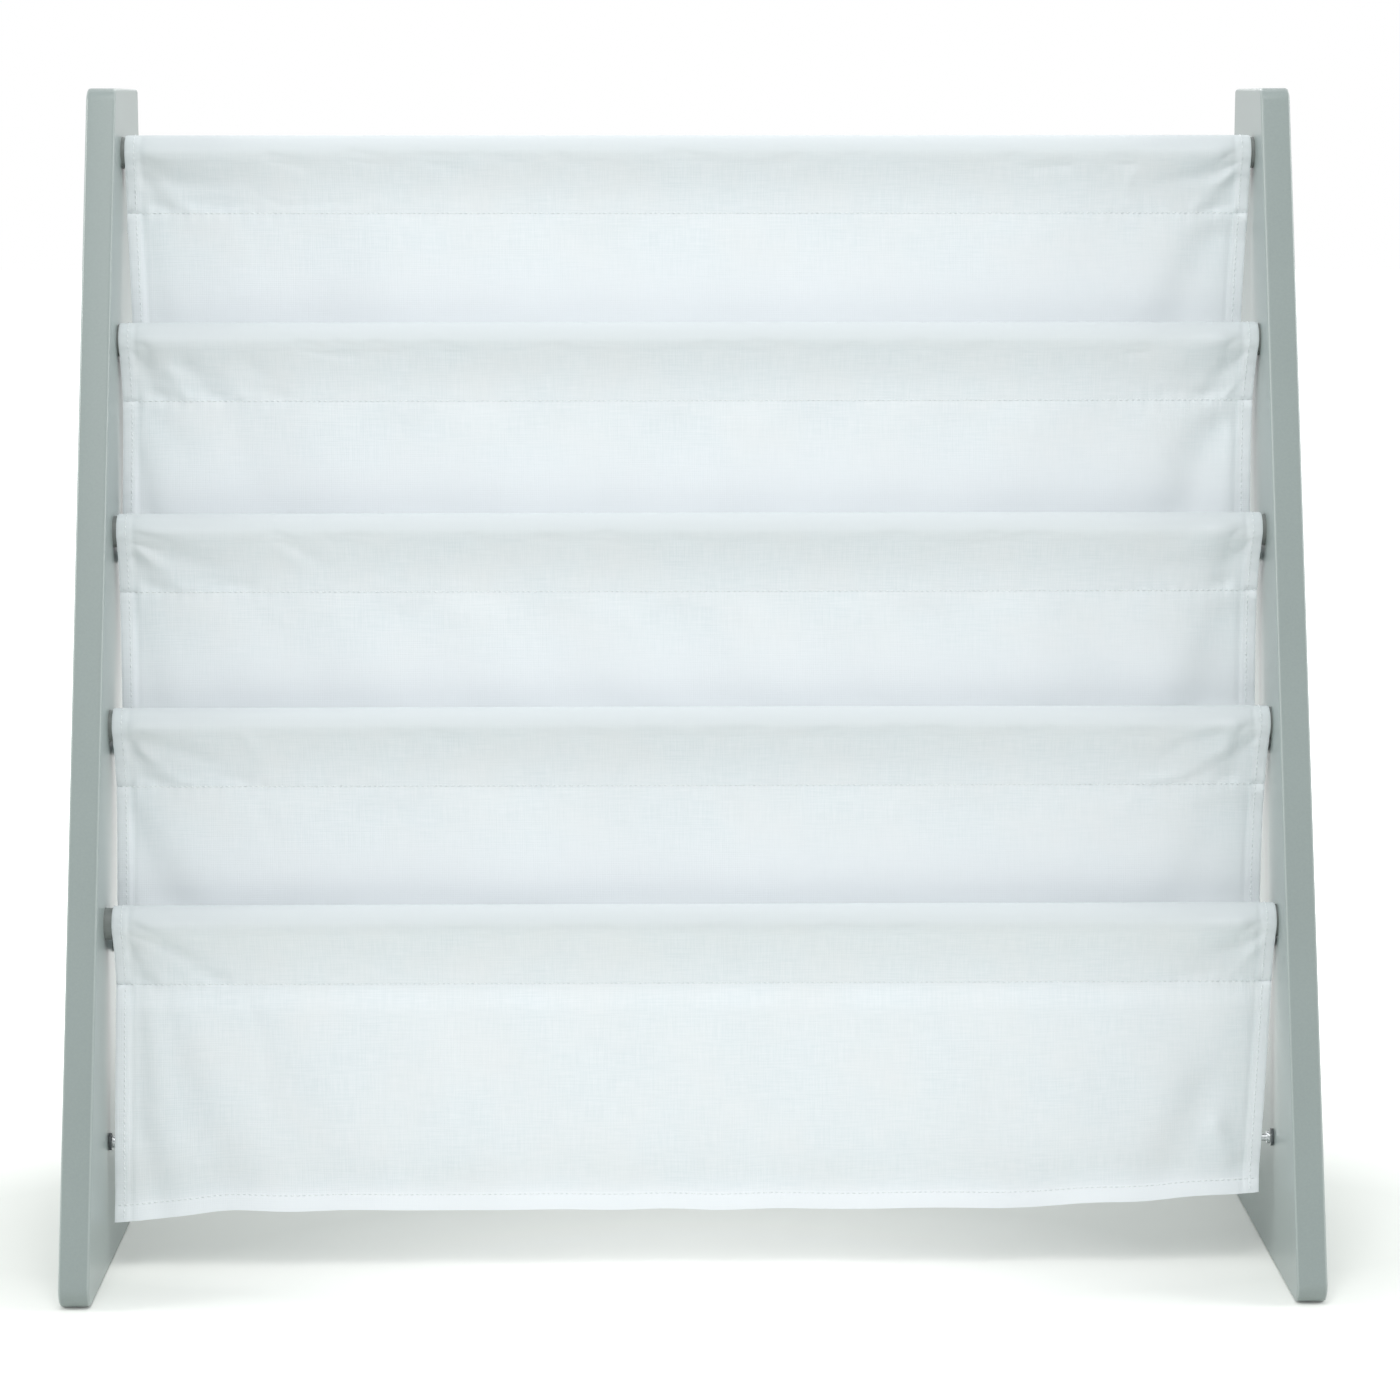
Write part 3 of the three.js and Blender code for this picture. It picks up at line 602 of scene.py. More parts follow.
# The same for the hanging cloth below the seams.
panel_folds = {
    (1, -1): (
        (((22, 36), (40, 98), (56, 126)), (-0.8, -1.0), (7, 13)),
        (((12, 36), (13, 100)), (-0.8, -0.9), (4, 6)),
        (((16, 108), (22, 138)), (-1.0, -1.6), (7, 9)),
        (((66, 40), (75, 60), (76, 88)), (-0.35, -0.2), (3, 4)),
        (((172, 60), (176, 128)), (-0.4, -0.3), (3, 3)),
    ),
    (1, 1): (
        (((32, 88), (44, 124)), (-1.6, -1.4), (10, 12)),
        (((24, 106), (15, 122)), (1.3, 1.0), (5, 6)),
        (((14, 116), (11, 128)), (-0.7, -0.8), (6, 5)),
        (((140, 80), (141, 134)), (-0.4, -0.3), (3, 3)),
    ),
    (2, -1): (
        (((9, 50), (18, 72), (27, 92)), (-1.2, -2.4), (8, 14)),
        (((70, 34), (80, 60)), (-0.3, -0.2), (3, 4)),
    ),
    (2, 1): (
        (((24, 34), (28, 60), (40, 92)), (-0.5, -0.9), (9, 14)),
        (((64, 32), (72, 44)), (0.4, 0.2), (3, 4)),
    ),
    (3, -1): (
        (((9, 48), (13, 70), (16, 92)), (-0.6, -1.4), (7, 11)),
        (((68, 32), (84, 46)), (0.3, 0.2), (2.4, 3)),
    ),
    (3, 1): (
        (((18, 38), (22, 60), (28, 92)), (-0.5, -2.0), (8, 14)),
    ),
    (4, -1): (
        (((15, 36), (32, 56)), (-0.6, -0.4), (5, 8)),
        (((8, 62), (12, 90)), (-0.8, -1.8), (5, 7)),
        (((56, 40), (66, 74)), (-0.3, -0.3), (6, 10)),
    ),
    (4, 1): (
        (((18, 44), (28, 60), (34, 92)), (-1.5, -2.2), (8, 13)),
        (((10, 42), (13, 90)), (0.4, 0.4), (4, 5)),
        (((15, 33), (8, 44)), (-0.5, -0.5), (1.8, 2)),
    ),
    (5, -1): (
        (((60, 36), (72, 58)), (-0.3, -0.2), (4, 6)),
        (((9, 36), (12, 92)), (-0.6, -1.0), (6, 10)),
    ),
    (5, 1): (
        (((17, 36), (28, 62), (36, 92)), (-1.2, -1.6), (8, 14)),
    ),
}

# Towards each side edge a hanging panel turns away to the rear, because its hem is drawn tight.
# The turn starts this far in from the edge, at the seam and at the end of its run below it, and
# has this slope.
fall_run = 56
falls = {
    (1, -1): (12, 28, 0.07), (1, 1): (32, 66, 0.10),
    (2, -1): (10, 28, 0.05), (2, 1): (30, 62, 0.08),
    (3, -1): (9, 24, 0.06), (3, 1): (24, 56, 0.10),
    (4, -1): (6, 15, 0.04), (4, 1): (16, 46, 0.06),
    (5, -1): (10, 28, 0.06), (5, 1): (26, 60, 0.09),
}


def ease(value, low, high):
    """0 up to low, 1 from high, and a smooth rise between."""
    t = np.clip((value - low) / (high - low), 0, 1)
    return t * t * (3 - 2 * t)


def bump_at(value, middle, width):
    """1 at the middle, and dying away over about this width to either side."""
    return np.exp(-((value - middle) / width) ** 2)


def fold(inward, depth, way, height, wide):
    """A soft ridge or valley along a line of places, dying away beyond its ends."""
    nearest = np.full(np.broadcast(inward, depth).shape, np.inf)
    share = np.zeros(nearest.shape)
    for k, (start, end) in enumerate(zip(way, way[1:])):
        run = np.subtract(end, start)
        along = np.clip(((inward - start[0]) * run[0] + (depth - start[1]) * run[1]) / (run @ run), 0, 1)
        away = np.hypot(inward - start[0] - along * run[0], depth - start[1] - along * run[1])
        closer = away < nearest
        nearest = np.where(closer, away, nearest)
        share = np.where(closer, (k + along) / (len(way) - 1), share)
    spread = wide[0] + (wide[1] - wide[0]) * share
    return (height[0] + (height[1] - height[0]) * share) * np.exp(-(nearest / spread) ** 2)


# Short crinkles under each rail, where the cloth that was folded for packing bends back under
# it. They run down towards the middle of the shelf, as the corner folds do.
chance = random.Random(5)
crinkle_count = 14
crinkled_from, crinkled_to = 105, 480       # in from the left edge
swell_count = 5                 # slow waves in each panel


def crinkle(place):
    towards_middle = 1 if place < cut_half else -1
    run = towards_middle * chance.uniform(7, 24)
    start_depth = chance.uniform(0.5, 3)
    way = ((place, start_depth), (place + run, start_depth + chance.uniform(1, 7)))
    return way, (-chance.uniform(0.25, 0.8), -0.2), (chance.uniform(1.8, 3.0), chance.uniform(2.4, 4.0))


crinkles = {
    n: [crinkle(chance.uniform(crinkled_from, crinkled_to)) for _ in range(crinkle_count)]
    for n in tiers
}
swells = {
    n: [(chance.uniform(0.012, 0.034), chance.uniform(0, math.tau), chance.uniform(-0.03, 0.03),
         chance.uniform(0.15, 0.32)) for _ in range(swell_count)]
    for n in tiers
}
pressed_fold = 0.28             # height of the fold line that packing left along a rail's front
pressed_fold_depth = -1.2
pressed_fold_width = 2.2
rail_clearance = 0.3
stitch_sink = 0.15
seam_width = 1.1
hem_pinch = 1.0                 # where a seam crosses a side hem
beside_hem_sink = 0.3
gather_pitch = 7.4              # small waves that a seam's stitching draws up
gather_height = 0.16
pucker_pitch = 8.2              # the same along a side hem
pucker_height = 0.12
folds_end = (84, 108)           # depths where a panel's folds die away, behind the sleeve below it
rail_shade_reach = 2.0              # a rail this far behind the cloth still darkens it a little: its grey showing through, with painted shade


def turn_away(inward, depth, top, low, slope):
    """How far the cloth lies behind its plain line near an edge."""
    start = top + (low - top) * np.clip((depth - seam_depth) / fall_run, 0, 1.4)
    share = np.clip(inward / start, 0, 1)
    return slope * start * 2 / math.pi * (1 - np.sin(share * math.pi / 2))


def relief(n, x, depth):
    """How far forward the cloth of a tier stands of its plain line, on its sleeve and its panel."""
    in_left, in_right = reach(n, -1, depth) + x, reach(n, 1, depth) - x
    in_edge = np.minimum(in_left, in_right)
    inner = ease(in_edge, side_hem - 2, side_hem + 2.5)
    on_sleeve = ease(depth, -7, -1) * (1 - ease(depth, seam_depth - 4, seam_depth + 3))
    out = pressed_fold * bump_at(depth, pressed_fold_depth, pressed_fold_width) + np.zeros(np.shape(x))
    for side, inward in ((-1, in_left), (1, in_right)):
        for shape in corner_folds[n, side]:
            out = out + fold(inward, depth, *shape) * inner * on_sleeve
    for shape in crinkles[n]:
        out = out + fold(in_left, depth, *shape) * on_sleeve
    out = np.maximum(out, -rail_clearance - 0.25 * np.clip(depth - 4.5, 0, None))

    below = depth - seam_depth
    hangs = ease(below, 0, 14) * (1 if n == 1 else 1 - ease(depth, *folds_end))
    for side, inward in ((-1, in_left), (1, in_right)):
        top, low, slope = falls[n, side]
        out = out - hangs * turn_away(inward, depth, top, low, slope)
        for shape in panel_folds[n, side]:
            out = out + fold(inward, depth, *shape) * inner * hangs
    if n == 1:
        # The flap leans on the lowest rod, so its middle swings forward instead of its edges back.
        out = out + hangs * turn_away(0, depth, *falls[n, 1])
    for pitch, phase, slant, deep in swells[n]:
        out = out + deep * hangs * np.sin(pitch * math.pi * (x + slant * depth * 20) + phase)

    in_seam = bump_at(below, 0, seam_width)
    gathers = np.sin(math.tau * x / gather_pitch + 1.7 * np.sin(x / 23)) * np.exp(-np.abs(below) / 4)
    puckers = np.sin(math.tau * depth / pucker_pitch + 1.5 * np.sin(depth / 19)) * (1 - inner)
    hem_row = bump_at(in_edge, hem_stitch_in, 0.7)
    beside_hem = bump_at(in_edge, side_hem + 1.6, 1.3)
    out = out - stitch_sink * (in_seam + hem_row)
    out = out + gather_height * gathers + pucker_height * puckers
    return out - beside_hem_sink * beside_hem - hem_pinch * (1 - inner) * in_seam


def across_shares():
    """Places across the cloth from -1 to 1, close together near its edges where it is creased."""
    inward = np.concatenate([
        [0, 0.4, 0.8, 1.4], np.arange(2, 16, 0.9), np.arange(16, 75, 1.5), np.arange(75, 130, 2.2),
        np.arange(130, usual_half, 3.6), [usual_half]]) / usual_half
    return np.concatenate([inward - 1, (1 - inward)[-2::-1]])


def canvas_piece(name, line, reach_of, thickness_of, relief_of, drop_of=None, whiten_where_backed=0):
    """A closed sheet along a line of [y, z], with its face to the left of the way that it runs.

    The last argument says, for each place along the line, how much other cloth lies close behind it, and so
    how much painted light whitens it there.
    Gives the piece, the line's length, and the grids of places [x, y, z] on its face and back."""
    shares = across_shares()
    forward = np.gradient(line, axis=0)
    forward /= np.linalg.norm(forward, axis=1)[:, None]
    face = np.stack([-forward[:, 1], forward[:, 0]], 1)
    run = np.concatenate([[0], np.cumsum(np.linalg.norm(np.diff(line, axis=0), axis=1))])
    rows, columns = len(line), len(shares)
    left, right = reach_of(-1)[:, None], reach_of(1)[:, None]
    x = np.where(shares[None, :] < 0, shares[None, :] * left, shares[None, :] * right)
    out = relief_of(x)
    inward = np.minimum(left + x, right - x)
    thick = thickness_of(inward)
    rounded = edge_round * (1 - ease(inward, 0, 0.9))
    layers = []
    for shift in (out + canvas_gauge / 2 - rounded, out + canvas_gauge / 2 - thick + rounded):
        y = line[:, :1] + face[:, :1] * shift
        z = line[:, 1:] + face[:, 1:] * shift
        if drop_of is not None:
            z = z - drop_of(x)
        layers.append(np.stack([x, y, z], 2))
    points = np.concatenate([layer.reshape(-1, 3) for layer in layers]) * MM
    grid = np.arange(rows * columns).reshape(rows, columns)
    back = grid + rows * columns
    faces = []

    def strip(a, b):
        """Faces between two lines of vertices."""
        faces.append(np.stack([a[:-1], a[1:], b[1:], b[:-1]], 1))

    for k in range(rows - 1):
        strip(grid[k], grid[k + 1])
        strip(back[k + 1], back[k])
    strip(back[0], grid[0])
    strip(grid[-1], back[-1])
    strip(grid[:, 0], back[:, 0])
    strip(back[:, -1], grid[:, -1])
    mesh = bpy.data.meshes.new(name)
    mesh.from_pydata(points.tolist(), [], np.concatenate(faces).tolist())
    laid = mesh.uv_layers.new(name="cut_cloth")
    flat = np.stack([np.broadcast_to(x, (rows, columns)), np.broadcast_to(run[:, None], (rows, columns))], 2)
    flat = np.tile(flat.reshape(-1, 2), (2, 1)) * MM
    corners = np.empty(len(mesh.loops), int)
    mesh.loops.foreach_get("vertex_index", corners)
    laid.data.foreach_set("uv", flat[corners].ravel())
    # Painted light: hems, and a panel's foot with cloth close behind it, are marked to be painted whiter,
    # lifting the shade there.
    doubled = np.clip(np.broadcast_to(thick, (rows, columns)) / canvas_gauge - 1, 0, 1)
    doubled = np.maximum(doubled, np.broadcast_to(whiten_where_backed, rows)[:, None]).ravel()
    mesh.attributes.new("doubled", "FLOAT", "POINT").data.foreach_set("value", np.tile(doubled, 2))
    mesh.polygons.foreach_set("use_smooth", np.ones(len(mesh.polygons), bool))
    mesh.set_sharp_from_angle(angle=math.radians(55))
    mesh.update()
    piece = bpy.data.objects.new(name, mesh)
    bpy.context.scene.collection.objects.link(piece)
    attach(piece, "root")
    return piece, run[-1], layers


def with_side_hems(inward):
    """Thickness of the cloth, which is doubled to the back along its side edges."""
    single = ease(inward, side_hem - hem_step, side_hem + hem_step)
    return canvas_gauge * (1 + turned_share * (1 - single))


yarn_white = "#F0F5F7"
yarn_shade = "#E8EFF1"
slub_warm = "#F1F3F3"
lifted_white = "#F5F9FB"       # whiter where two layers lie together: partly so, partly painted light lifting the shade at hems and panel feet
rail_shade_grey = "#DCE2E3"        # darker over a rail: partly its grey showing through, partly painted shade on each sleeve's lit top
yarn_pitch = 1.1 * MM           # the real yarns lie 0.6 mm apart, too fine to show at this size
slub_length = 14 * MM
slub_width = 0.8 * MM
cloud_size = 45 * MM
cotton_canvas, shader = new_finish("plain_woven_cotton_canvas", {
    "IOR": 1.5, "Roughness": 0.92, "Specular IOR Level": 0.25,
    "Sheen Weight": 0.12, "Sheen Roughness": 0.5})
# Bleached cotton: dead matt and nearly even, with the faint grid of its yarns, thicker yarns
# here and there, and a haze of fibres that pales it at a slant.
laid_flat = node(cotton_canvas, "ShaderNodeUVMap", uv_map="cut_cloth").outputs["UV"]
yarns = []
for direction in ("X", "Y"):
    # A wave texture repeats every tau / 20 of its scale.
    yarns.append(node(cotton_canvas, "ShaderNodeTexWave", {
        "Vector": laid_flat, "Scale": math.tau / 20 / yarn_pitch, "Distortion": 0.8,
        "Detail": 1.0, "Detail Scale": 0.3}, bands_direction=direction).outputs["Fac"])
weave = node(cotton_canvas, "ShaderNodeMath", {0: yarns[0], 1: yarns[1]}, operation="ADD")
slubs = []
for long_way, short_way in ((slub_length, slub_width), (slub_width, slub_length)):
    stretched = node(cotton_canvas, "ShaderNodeMapping", {
        "Vector": laid_flat, "Scale": (grains(long_way), grains(short_way), 1.0)})
    slubs.append(node(cotton_canvas, "ShaderNodeTexNoise", {
        "Vector": stretched.outputs[0], "Scale": 1.0, "Detail": 2.0}).outputs["Fac"])
slubbed = node(cotton_canvas, "ShaderNodeMath", {0: slubs[0], 1: slubs[1]}, operation="ADD")
cloud = node(cotton_canvas, "ShaderNodeTexNoise", {
    "Vector": laid_flat, "Scale": grains(cloud_size), "Detail": 3.0})
slub_share = node(cotton_canvas, "ShaderNodeMapRange", {
    "Value": slubbed.outputs[0], "From Min": 0.75, "From Max": 1.3})
cloth_tone = node(cotton_canvas, "ShaderNodeMixRGB", {
    "Fac": slub_share.outputs[0], "Color1": linear(yarn_shade), "Color2": linear(yarn_white)})
clouded = node(cotton_canvas, "ShaderNodeMapRange", {
    "Value": cloud.outputs["Fac"], "From Min": 0.4, "From Max": 0.7, "To Max": 0.5})
cloth_colour = node(cotton_canvas, "ShaderNodeMixRGB", {
    "Fac": clouded.outputs[0], "Color1": cloth_tone.outputs[0], "Color2": linear(slub_warm)})
slub_bump = node(cotton_canvas, "ShaderNodeBump", {
    "Height": slubbed.outputs[0], "Strength": 0.5, "Distance": 0.10 * MM})
weave_bump = node(cotton_canvas, "ShaderNodeBump", {
    "Height": weave.outputs[0], "Strength": 0.35, "Distance": 0.035 * MM,
    "Normal": slub_bump.outputs["Normal"]})
# Painted light: whiter where cloth lies doubled, partly as doubled cloth is and partly to lift the shade at
# hems and panel feet.
doubled = node(cotton_canvas, "ShaderNodeAttribute", attribute_name="doubled")
lifted_colour = node(cotton_canvas, "ShaderNodeMixRGB", {
    "Fac": doubled.outputs["Fac"], "Color1": cloth_colour.outputs[0], "Color2": linear(lifted_white)})
# Painted shade over each rail, partly its grey showing through the thin cloth.
on_rail = node(cotton_canvas, "ShaderNodeAttribute", attribute_name="shade_over_rail")
rail_shaded_colour = node(cotton_canvas, "ShaderNodeMixRGB", {
    "Fac": on_rail.outputs["Fac"], "Color1": lifted_colour.outputs[0], "Color2": linear(rail_shade_grey)})
feed(cotton_canvas, shader, Base_Color=rail_shaded_colour.outputs[0], Normal=weave_bump.outputs["Normal"])


def outward(layers):
    """Normals of a sheet's face, as far as its own thickness tells them."""
    away = layers[0] - layers[1]
    return away / np.linalg.norm(away, axis=2)[..., None]


def hem_columns():
    """The two columns of a sheet's grid that lie nearest to the side hems' stitching."""
    inward = (1 + across_shares()) * usual_half
    left = int(np.argmin(np.abs(inward - hem_stitch_in)))
    return left, len(inward) - 1 - left


def depths(n, line):
    """How far each place of a line lies below its rail's centre."""
    return rail[n][1] - line[:, 1]


left_hem, right_hem = hem_columns()
over_top = 4                    # a sleeve's folds come in over this much ahead of its rail's top
rear_held_from = 18             # depths where the seam begins to hold each layer to the other
front_held_from = 20
rail_shade_from_below = 6                 # the painted shade over a rail starts this far below its centre, and is full this far above it, on the sleeve's lit top
rail_shade_full_above = 4                 # and is wholly tight this far above it

for n in tiers:
    line = sleeve_line(n)
    depth = depths(n, line)
    rear = np.arange(len(line)) > np.argmin(depth)
    # The front layer carries the folds, and the rear one follows it where the seam holds both.
    ahead_of_rail = rail[n][0] - line[:, 0]
    forward = np.where(rear, -ease(depth, rear_held_from, seam_depth),
                       ease(ahead_of_rail, 0, over_top) + ease(depth, front_held_from, seam_depth))
    forward = np.clip(forward, -1, 1)[:, None]

    def sleeve_relief(x, n=n, depth=depth, forward=forward):
        return relief(n, x, depth[:, None]) * forward

    def sleeve_reach(side, n=n, depth=depth):
        return reach(n, side, np.clip(depth, 0, seam_depth))

    piece, length, layers = canvas_piece(
        f"sling_sleeve_{n}", line, sleeve_reach, with_side_hems, sleeve_relief)
    piece.data.materials.append(cotton_canvas)
    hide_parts(f"canvas_sleeve_{n}")
    # Painted shade over each rail: partly the rail's grey showing through the thin cloth, and strongest on
    # the sleeve's top, where it tones down the light from above.
    off_rail = np.linalg.norm(np.stack(layers)[..., 1:] - rail[n], axis=3) - sleeve_wrap - canvas_gauge / 2
    shade_on_top = ease(-depth, -rail_shade_from_below, rail_shade_full_above)[:, None]
    rail_shade_share = np.exp(-(np.clip(off_rail, 0, None) / rail_shade_reach) ** 2) * shade_on_top
    piece.data.attributes.new("shade_over_rail", "FLOAT", "POINT").data.foreach_set("value", rail_shade_share.ravel())
    face, normals = layers[0], outward(layers)
    seam_row = len(line) - 1 - (len(tail_shares) if n == 5 else 0)
    sewn = stitches(f"sleeve_stitches_{n}", [
        (face[0], normals[0]), (face[seam_row], normals[seam_row]),
        (face[:, left_hem], normals[:, left_hem]), (face[:, right_hem], normals[:, right_hem])])

hem_push = 1.2 * canvas_gauge   # a pocket's hems are pushed back by this, behind the next ones
push_ends = (92, 106)           # depths where that push dies away
lowest_parts = (70, 104)        # depths where the lowest pocket stops following the flap
foot_lift_depths = (40, 90)            # depths where the pocket's foot closes up to a panel, which is painted whiter there as painted light

for n in pockets:
    line = pocket_line(n)
    lowest = np.argmin(line[:, 1])
    rising = np.arange(len(line)) > lowest
    depth = np.where(rising, depths(n + 1, line), depths(n, line))

    def pocket_reach(side, n=n, rising=rising, depth=depth):
        inner_wall = np.interp(depth, (seam_depth, rod_depth),
                               (reach(n, side, seam_depth), reach_at_rod(n, side)))
        return np.where(rising, reach(n + 1, side, depth), inner_wall)

    def pocket_relief(x, n=n, rising=rising, depth=depth):
        # The hidden front wall follows the panel or flap that hangs just ahead of it, and where
        # the hems of both meet it is pushed back by their thickness.
        below_seam = depth[:, None]
        follows = 1 - ease(below_seam, *lowest_parts) if n == 1 else 1
        inward = np.minimum(pocket_reach(-1)[:, None] + x, pocket_reach(1)[:, None] - x)
        beside = 1 - ease(inward, side_hem - hem_step, side_hem + 2)
        starts = ease(below_seam, seam_depth, seam_depth + 3)
        pushed = hem_push * beside * starts * (1 - ease(below_seam, *push_ends))
        falling = pushed - relief(n, x, below_seam) * follows
        return np.where(rising[:, None], relief(n + 1, x, below_seam), falling)

    piece, length, layers = canvas_piece(
        f"sling_pocket_{n}", line, pocket_reach, with_side_hems, pocket_relief,
        whiten_where_backed=np.where(rising, ease(depth, *foot_lift_depths), 0))
    piece.data.materials.append(cotton_canvas)
    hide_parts(f"canvas_pocket_{n}")
    face, normals = layers[0], outward(layers)
    sewn = stitches(f"pocket_stitches_{n}", [
        (face[:, left_hem], normals[:, left_hem]), (face[:, right_hem], normals[:, right_hem])])

# Front flap. The free end of the same canvas hangs from the lowest sleeve. Its edge is turned up
# 9 mm and stitched, and hangs in slow waves, lower at the left corner and drawn up at the right.
line = flap_line()
flap_depth = depths(1, line)[:, None]
hem_kick = 0.17                 # the stiff doubled hem kicks forward by this much of its height
hem_wave = 1.0                  # half the height of the slow waves along its edge
left_sag = 6.2
right_rise = 7.2
hem_ripple = 0.35


def flap_relief(x):
    hem_top = depths(1, line)[0] - hem_fold
    hem_waves = hem_wave * (1 + np.sin(x / 17.5 + 0.8 * np.sin(x / 61))) * ease(flap_depth, 112, 146)
    kick = hem_kick * np.clip(flap_depth - hem_top + 3, 0, None)
    row = stitch_sink * bump_at(flap_depth, hem_top + 1, 0.8)
    return relief(1, x, flap_depth) + hem_waves + kick - row


def flap_drop(x):
    sag = left_sag * ease(-x, 228, 292) - right_rise * np.clip((x - 150) / 134, 0, 1) ** 1.3
    ripple = hem_ripple * np.sin(x / 11 + 1.3 * np.sin(x / 37))
    return (sag + ripple) * np.clip((flap_depth - seam_depth) / 113, 0, 1) ** 1.5


def flap_thickness(inward):
    hem_top = depths(1, line)[0] - hem_fold
    hem = ease(flap_depth, hem_top - hem_step, hem_top + hem_step)
    return with_side_hems(inward) + turned_share * canvas_gauge * hem


piece, length, layers = canvas_piece(
    "sling_flap", line, lambda side: reach(1, side, flap_depth[:, 0]),
    flap_thickness, flap_relief, flap_drop)
piece.data.materials.append(cotton_canvas)
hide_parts("canvas_front_flap")
face, normals = layers[0], outward(layers)
hem_row = int(np.argmin(np.abs(depths(1, line) - (depths(1, line)[0] - hem_fold + 1))))
sewn = stitches("flap_stitches", [
    (face[hem_row], normals[hem_row]),
    (face[:, left_hem], normals[:, left_hem]), (face[:, right_hem], normals[:, right_hem])])

# Studio. A white floor that runs on into a white background. Two soft lamps light the shelf from
# above its front, one stands at each side, and three weak ones light the back of the canvas.
floor_reach = 12.0
paper_white = "#F4F5F0"
lamp_white = "#FFFFFF"
fill_white = "#F6FAFF"
fill_strength = 0.555
shaded_paper = (0.45, 0.15)     # half the size of the paper that the shelf shades, in metres
flap_glow = (0.16, 0.09)
floor_mesh = bpy.data.meshes.new("studio_floor")
corner_signs = ((-1, -1), (1, -1), (1, 1), (-1, 1))
floor_mesh.from_pydata([(floor_reach * a, floor_reach * b, 0) for a, b in corner_signs],
                       [], [(0, 1, 2, 3)])
studio_floor = bpy.data.objects.new("studio_floor", floor_mesh)
bpy.context.scene.collection.objects.link(studio_floor)
floor_white = bpy.data.materials.new("white_paper_floor")
floor_white.use_nodes = True
floor_white.node_tree.nodes.clear()
paper = node(floor_white, "ShaderNodeBsdfDiffuse", {"Color": linear(paper_white)})
# Away from the shelf the paper pales to pure white, and before the flap a faint painted pool of light lifts
# the floor's shadow.
# That glow is only seen: it throws no light on the shelf.
floor_place = node(floor_white, "ShaderNodeTexCoord").outputs["Object"]
shelf_sized = node(floor_white, "ShaderNodeMapping", {
    "Vector": floor_place, "Scale": (1 / shaded_paper[0], 1 / shaded_paper[1], 1)})
from_shelf = node(floor_white, "ShaderNodeVectorMath", {0: shelf_sized.outputs[0]}, operation="LENGTH")
far_glow = node(floor_white, "ShaderNodeMapRange", {
    "Value": from_shelf.outputs["Value"], "From Min": 0.9, "From Max": 3.5, "To Min": 0.0, "To Max": 1.0})
# A painted pool of light on the floor just before the flap.
by_flap = node(floor_white, "ShaderNodeMapping", {
    "Vector": floor_place, "Location": (0, 1, 0), "Scale": (1 / flap_glow[0], 1 / flap_glow[1], 1)})
from_flap = node(floor_white, "ShaderNodeVectorMath", {0: by_flap.outputs[0]}, operation="LENGTH")
near_glow = node(floor_white, "ShaderNodeMapRange", {
    "Value": from_flap.outputs["Value"], "From Min": 0.4, "From Max": 1.6, "To Min": 0.2, "To Max": 0.0})
both_glows = node(floor_white, "ShaderNodeMath", {
    0: far_glow.outputs[0], 1: near_glow.outputs[0]}, operation="ADD")
glow = node(floor_white, "ShaderNodeEmission", {
    "Color": linear(lamp_white), "Strength": both_glows.outputs[0]})
floor_rays = node(floor_white, "ShaderNodeLightPath")
seen = node(floor_white, "ShaderNodeMath", {
    0: floor_rays.outputs["Is Camera Ray"], 1: floor_rays.outputs["Is Glossy Ray"]},
    operation="MAXIMUM").outputs[0]
dark = node(floor_white, "ShaderNodeEmission", {"Strength": 0.0})
only_seen = node(floor_white, "ShaderNodeMixShader", {0: seen, 1: dark.outputs[0], 2: glow.outputs[0]})
both = node(floor_white, "ShaderNodeAddShader", {0: paper.outputs[0], 1: only_seen.outputs[0]})
node(floor_white, "ShaderNodeOutputMaterial", {"Surface": both.outputs[0]})
floor_mesh.materials.append(floor_white)

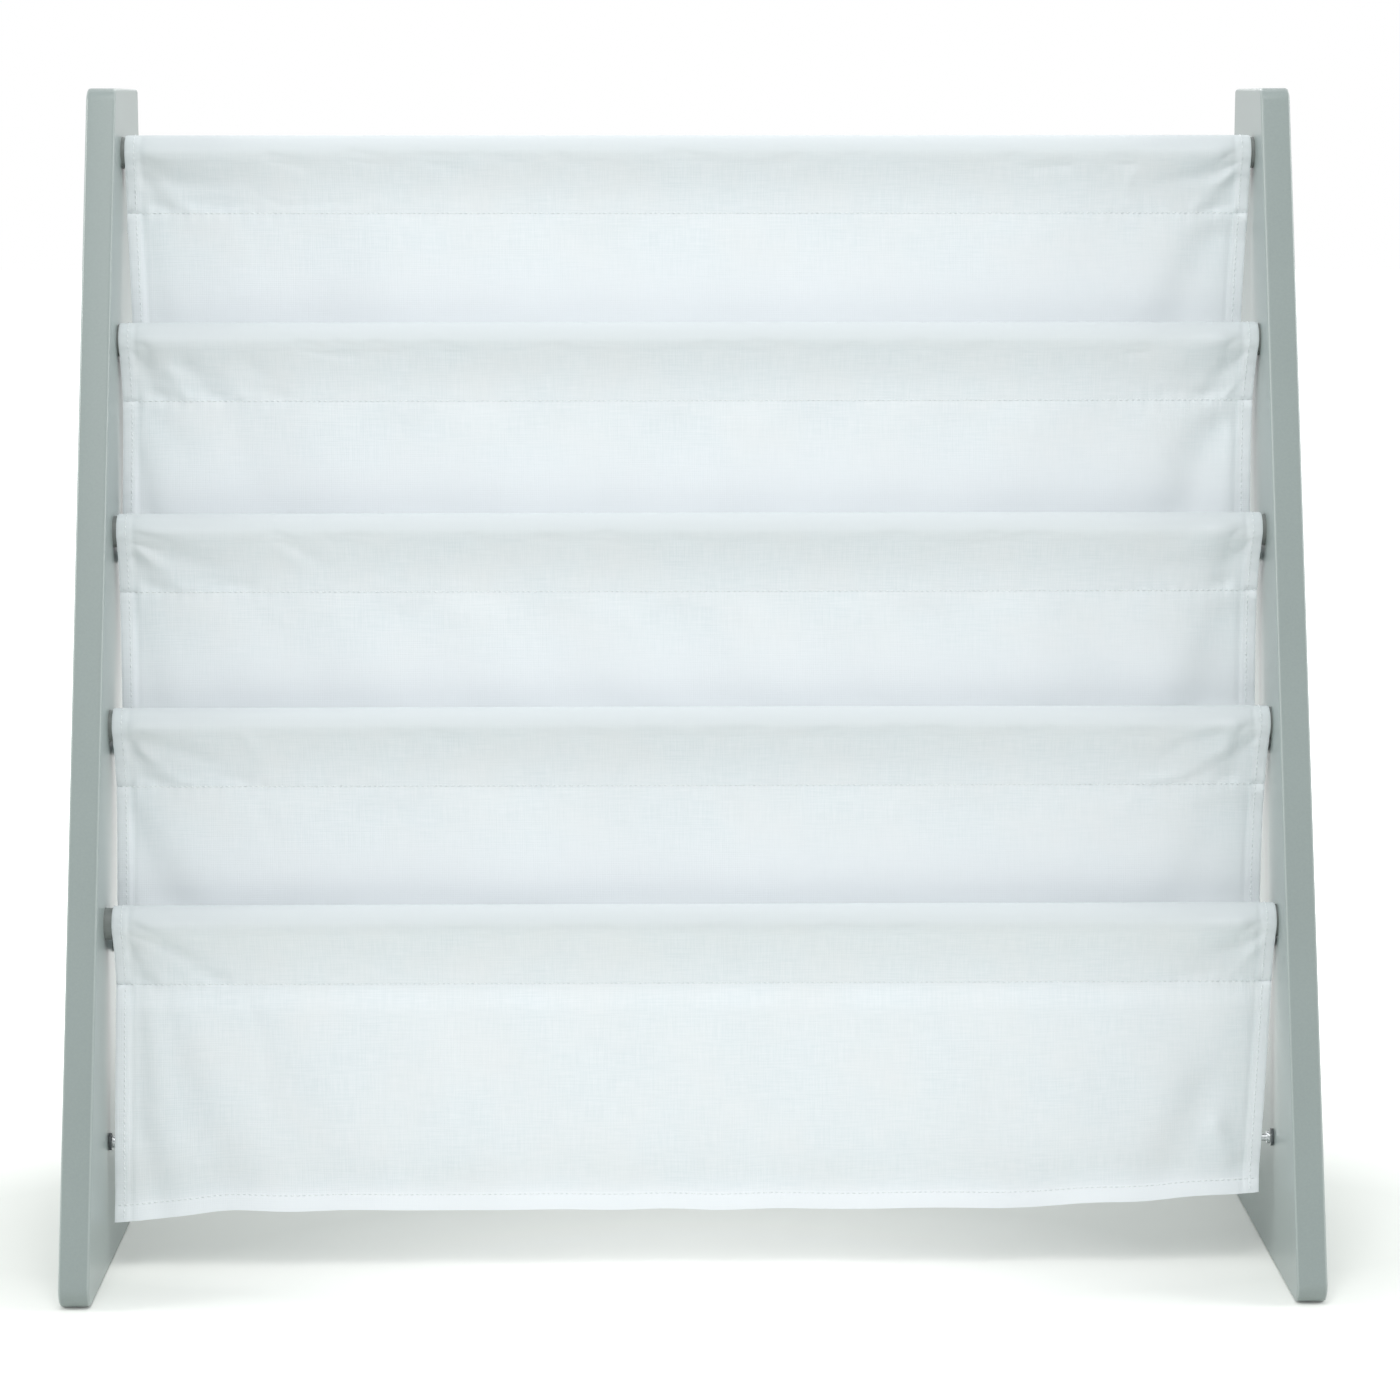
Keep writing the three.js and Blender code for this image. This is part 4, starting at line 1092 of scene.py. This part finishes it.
world = bpy.data.worlds.new("white_studio")
bpy.context.scene.world = world
world.use_nodes = True
world.node_tree.nodes.clear()
rays = node(world, "ShaderNodeLightPath")
camera_or_gloss = node(world, "ShaderNodeMath", {
    0: rays.outputs["Is Camera Ray"], 1: rays.outputs["Is Glossy Ray"]}, operation="MAXIMUM")
or_through = node(world, "ShaderNodeMath", {
    0: camera_or_gloss.outputs[0], 1: rays.outputs["Is Transmission Ray"]}, operation="MAXIMUM")
fill = node(world, "ShaderNodeBackground", {"Color": linear(fill_white), "Strength": fill_strength})
white = node(world, "ShaderNodeBackground", {"Color": linear(lamp_white), "Strength": 1.0})
sky = node(world, "ShaderNodeMixShader", {0: or_through.outputs[0], 1: fill.outputs[0], 2: white.outputs[0]})
node(world, "ShaderNodeOutputWorld", {"Surface": sky.outputs[0]})

shelf_middle = Vector((0, 0, 0.3))
softbox_side = 0.9
softbox_distance = 2.3


def softbox(name, azimuth, elevation, power):
    """A square lamp that faces the shelf, from degrees to the right of its front and above it."""
    lamp = bpy.data.lights.new(name, "AREA")
    lamp.shape = "SQUARE"
    lamp.size = softbox_side
    lamp.energy = power
    turn, rise = math.radians(azimuth), math.radians(elevation)
    away = Vector((math.sin(turn) * math.cos(rise), -math.cos(turn) * math.cos(rise), math.sin(rise)))
    holder = bpy.data.objects.new(name, lamp)
    holder.location = shelf_middle + softbox_distance * away
    holder.rotation_mode = "QUATERNION"
    holder.rotation_quaternion = away.to_track_quat("Z", "Y")
    bpy.context.scene.collection.objects.link(holder)


softbox("key_softbox", 0, 65, 13.5)
softbox("left_key_softbox", -12, 42, 6.4)
softbox("left_softbox", -85, 20, 17)
softbox("right_softbox", 85, 20, 17)
softbox("rear_top_softbox", 180, 65, 6)
softbox("rear_softbox", 180, 35, 8)
softbox("rear_right_softbox", 130, 30, 3)

# Camera. A long lens 1.9 m away, nearly as high as the top of the shelf and aimed down at its
# middle, as in the photograph.
picture_width = 1400
focal_pixels = 3821.5
camera_place = (-0.0214, -1.9271, 0.5750)
looks_down, rolled, turned = 8.779, 0.017, -0.779       # degrees
camera_data = bpy.data.cameras.new("camera")
camera_data.sensor_width = 36
camera_data.lens = focal_pixels / picture_width * camera_data.sensor_width
camera = bpy.data.objects.new("camera", camera_data)
camera.location = camera_place
camera.rotation_euler = (math.radians(90 - looks_down), math.radians(rolled), math.radians(turned))
bpy.context.scene.collection.objects.link(camera)
bpy.context.scene.camera = camera
bpy.context.scene.view_settings.view_transform = "Standard"
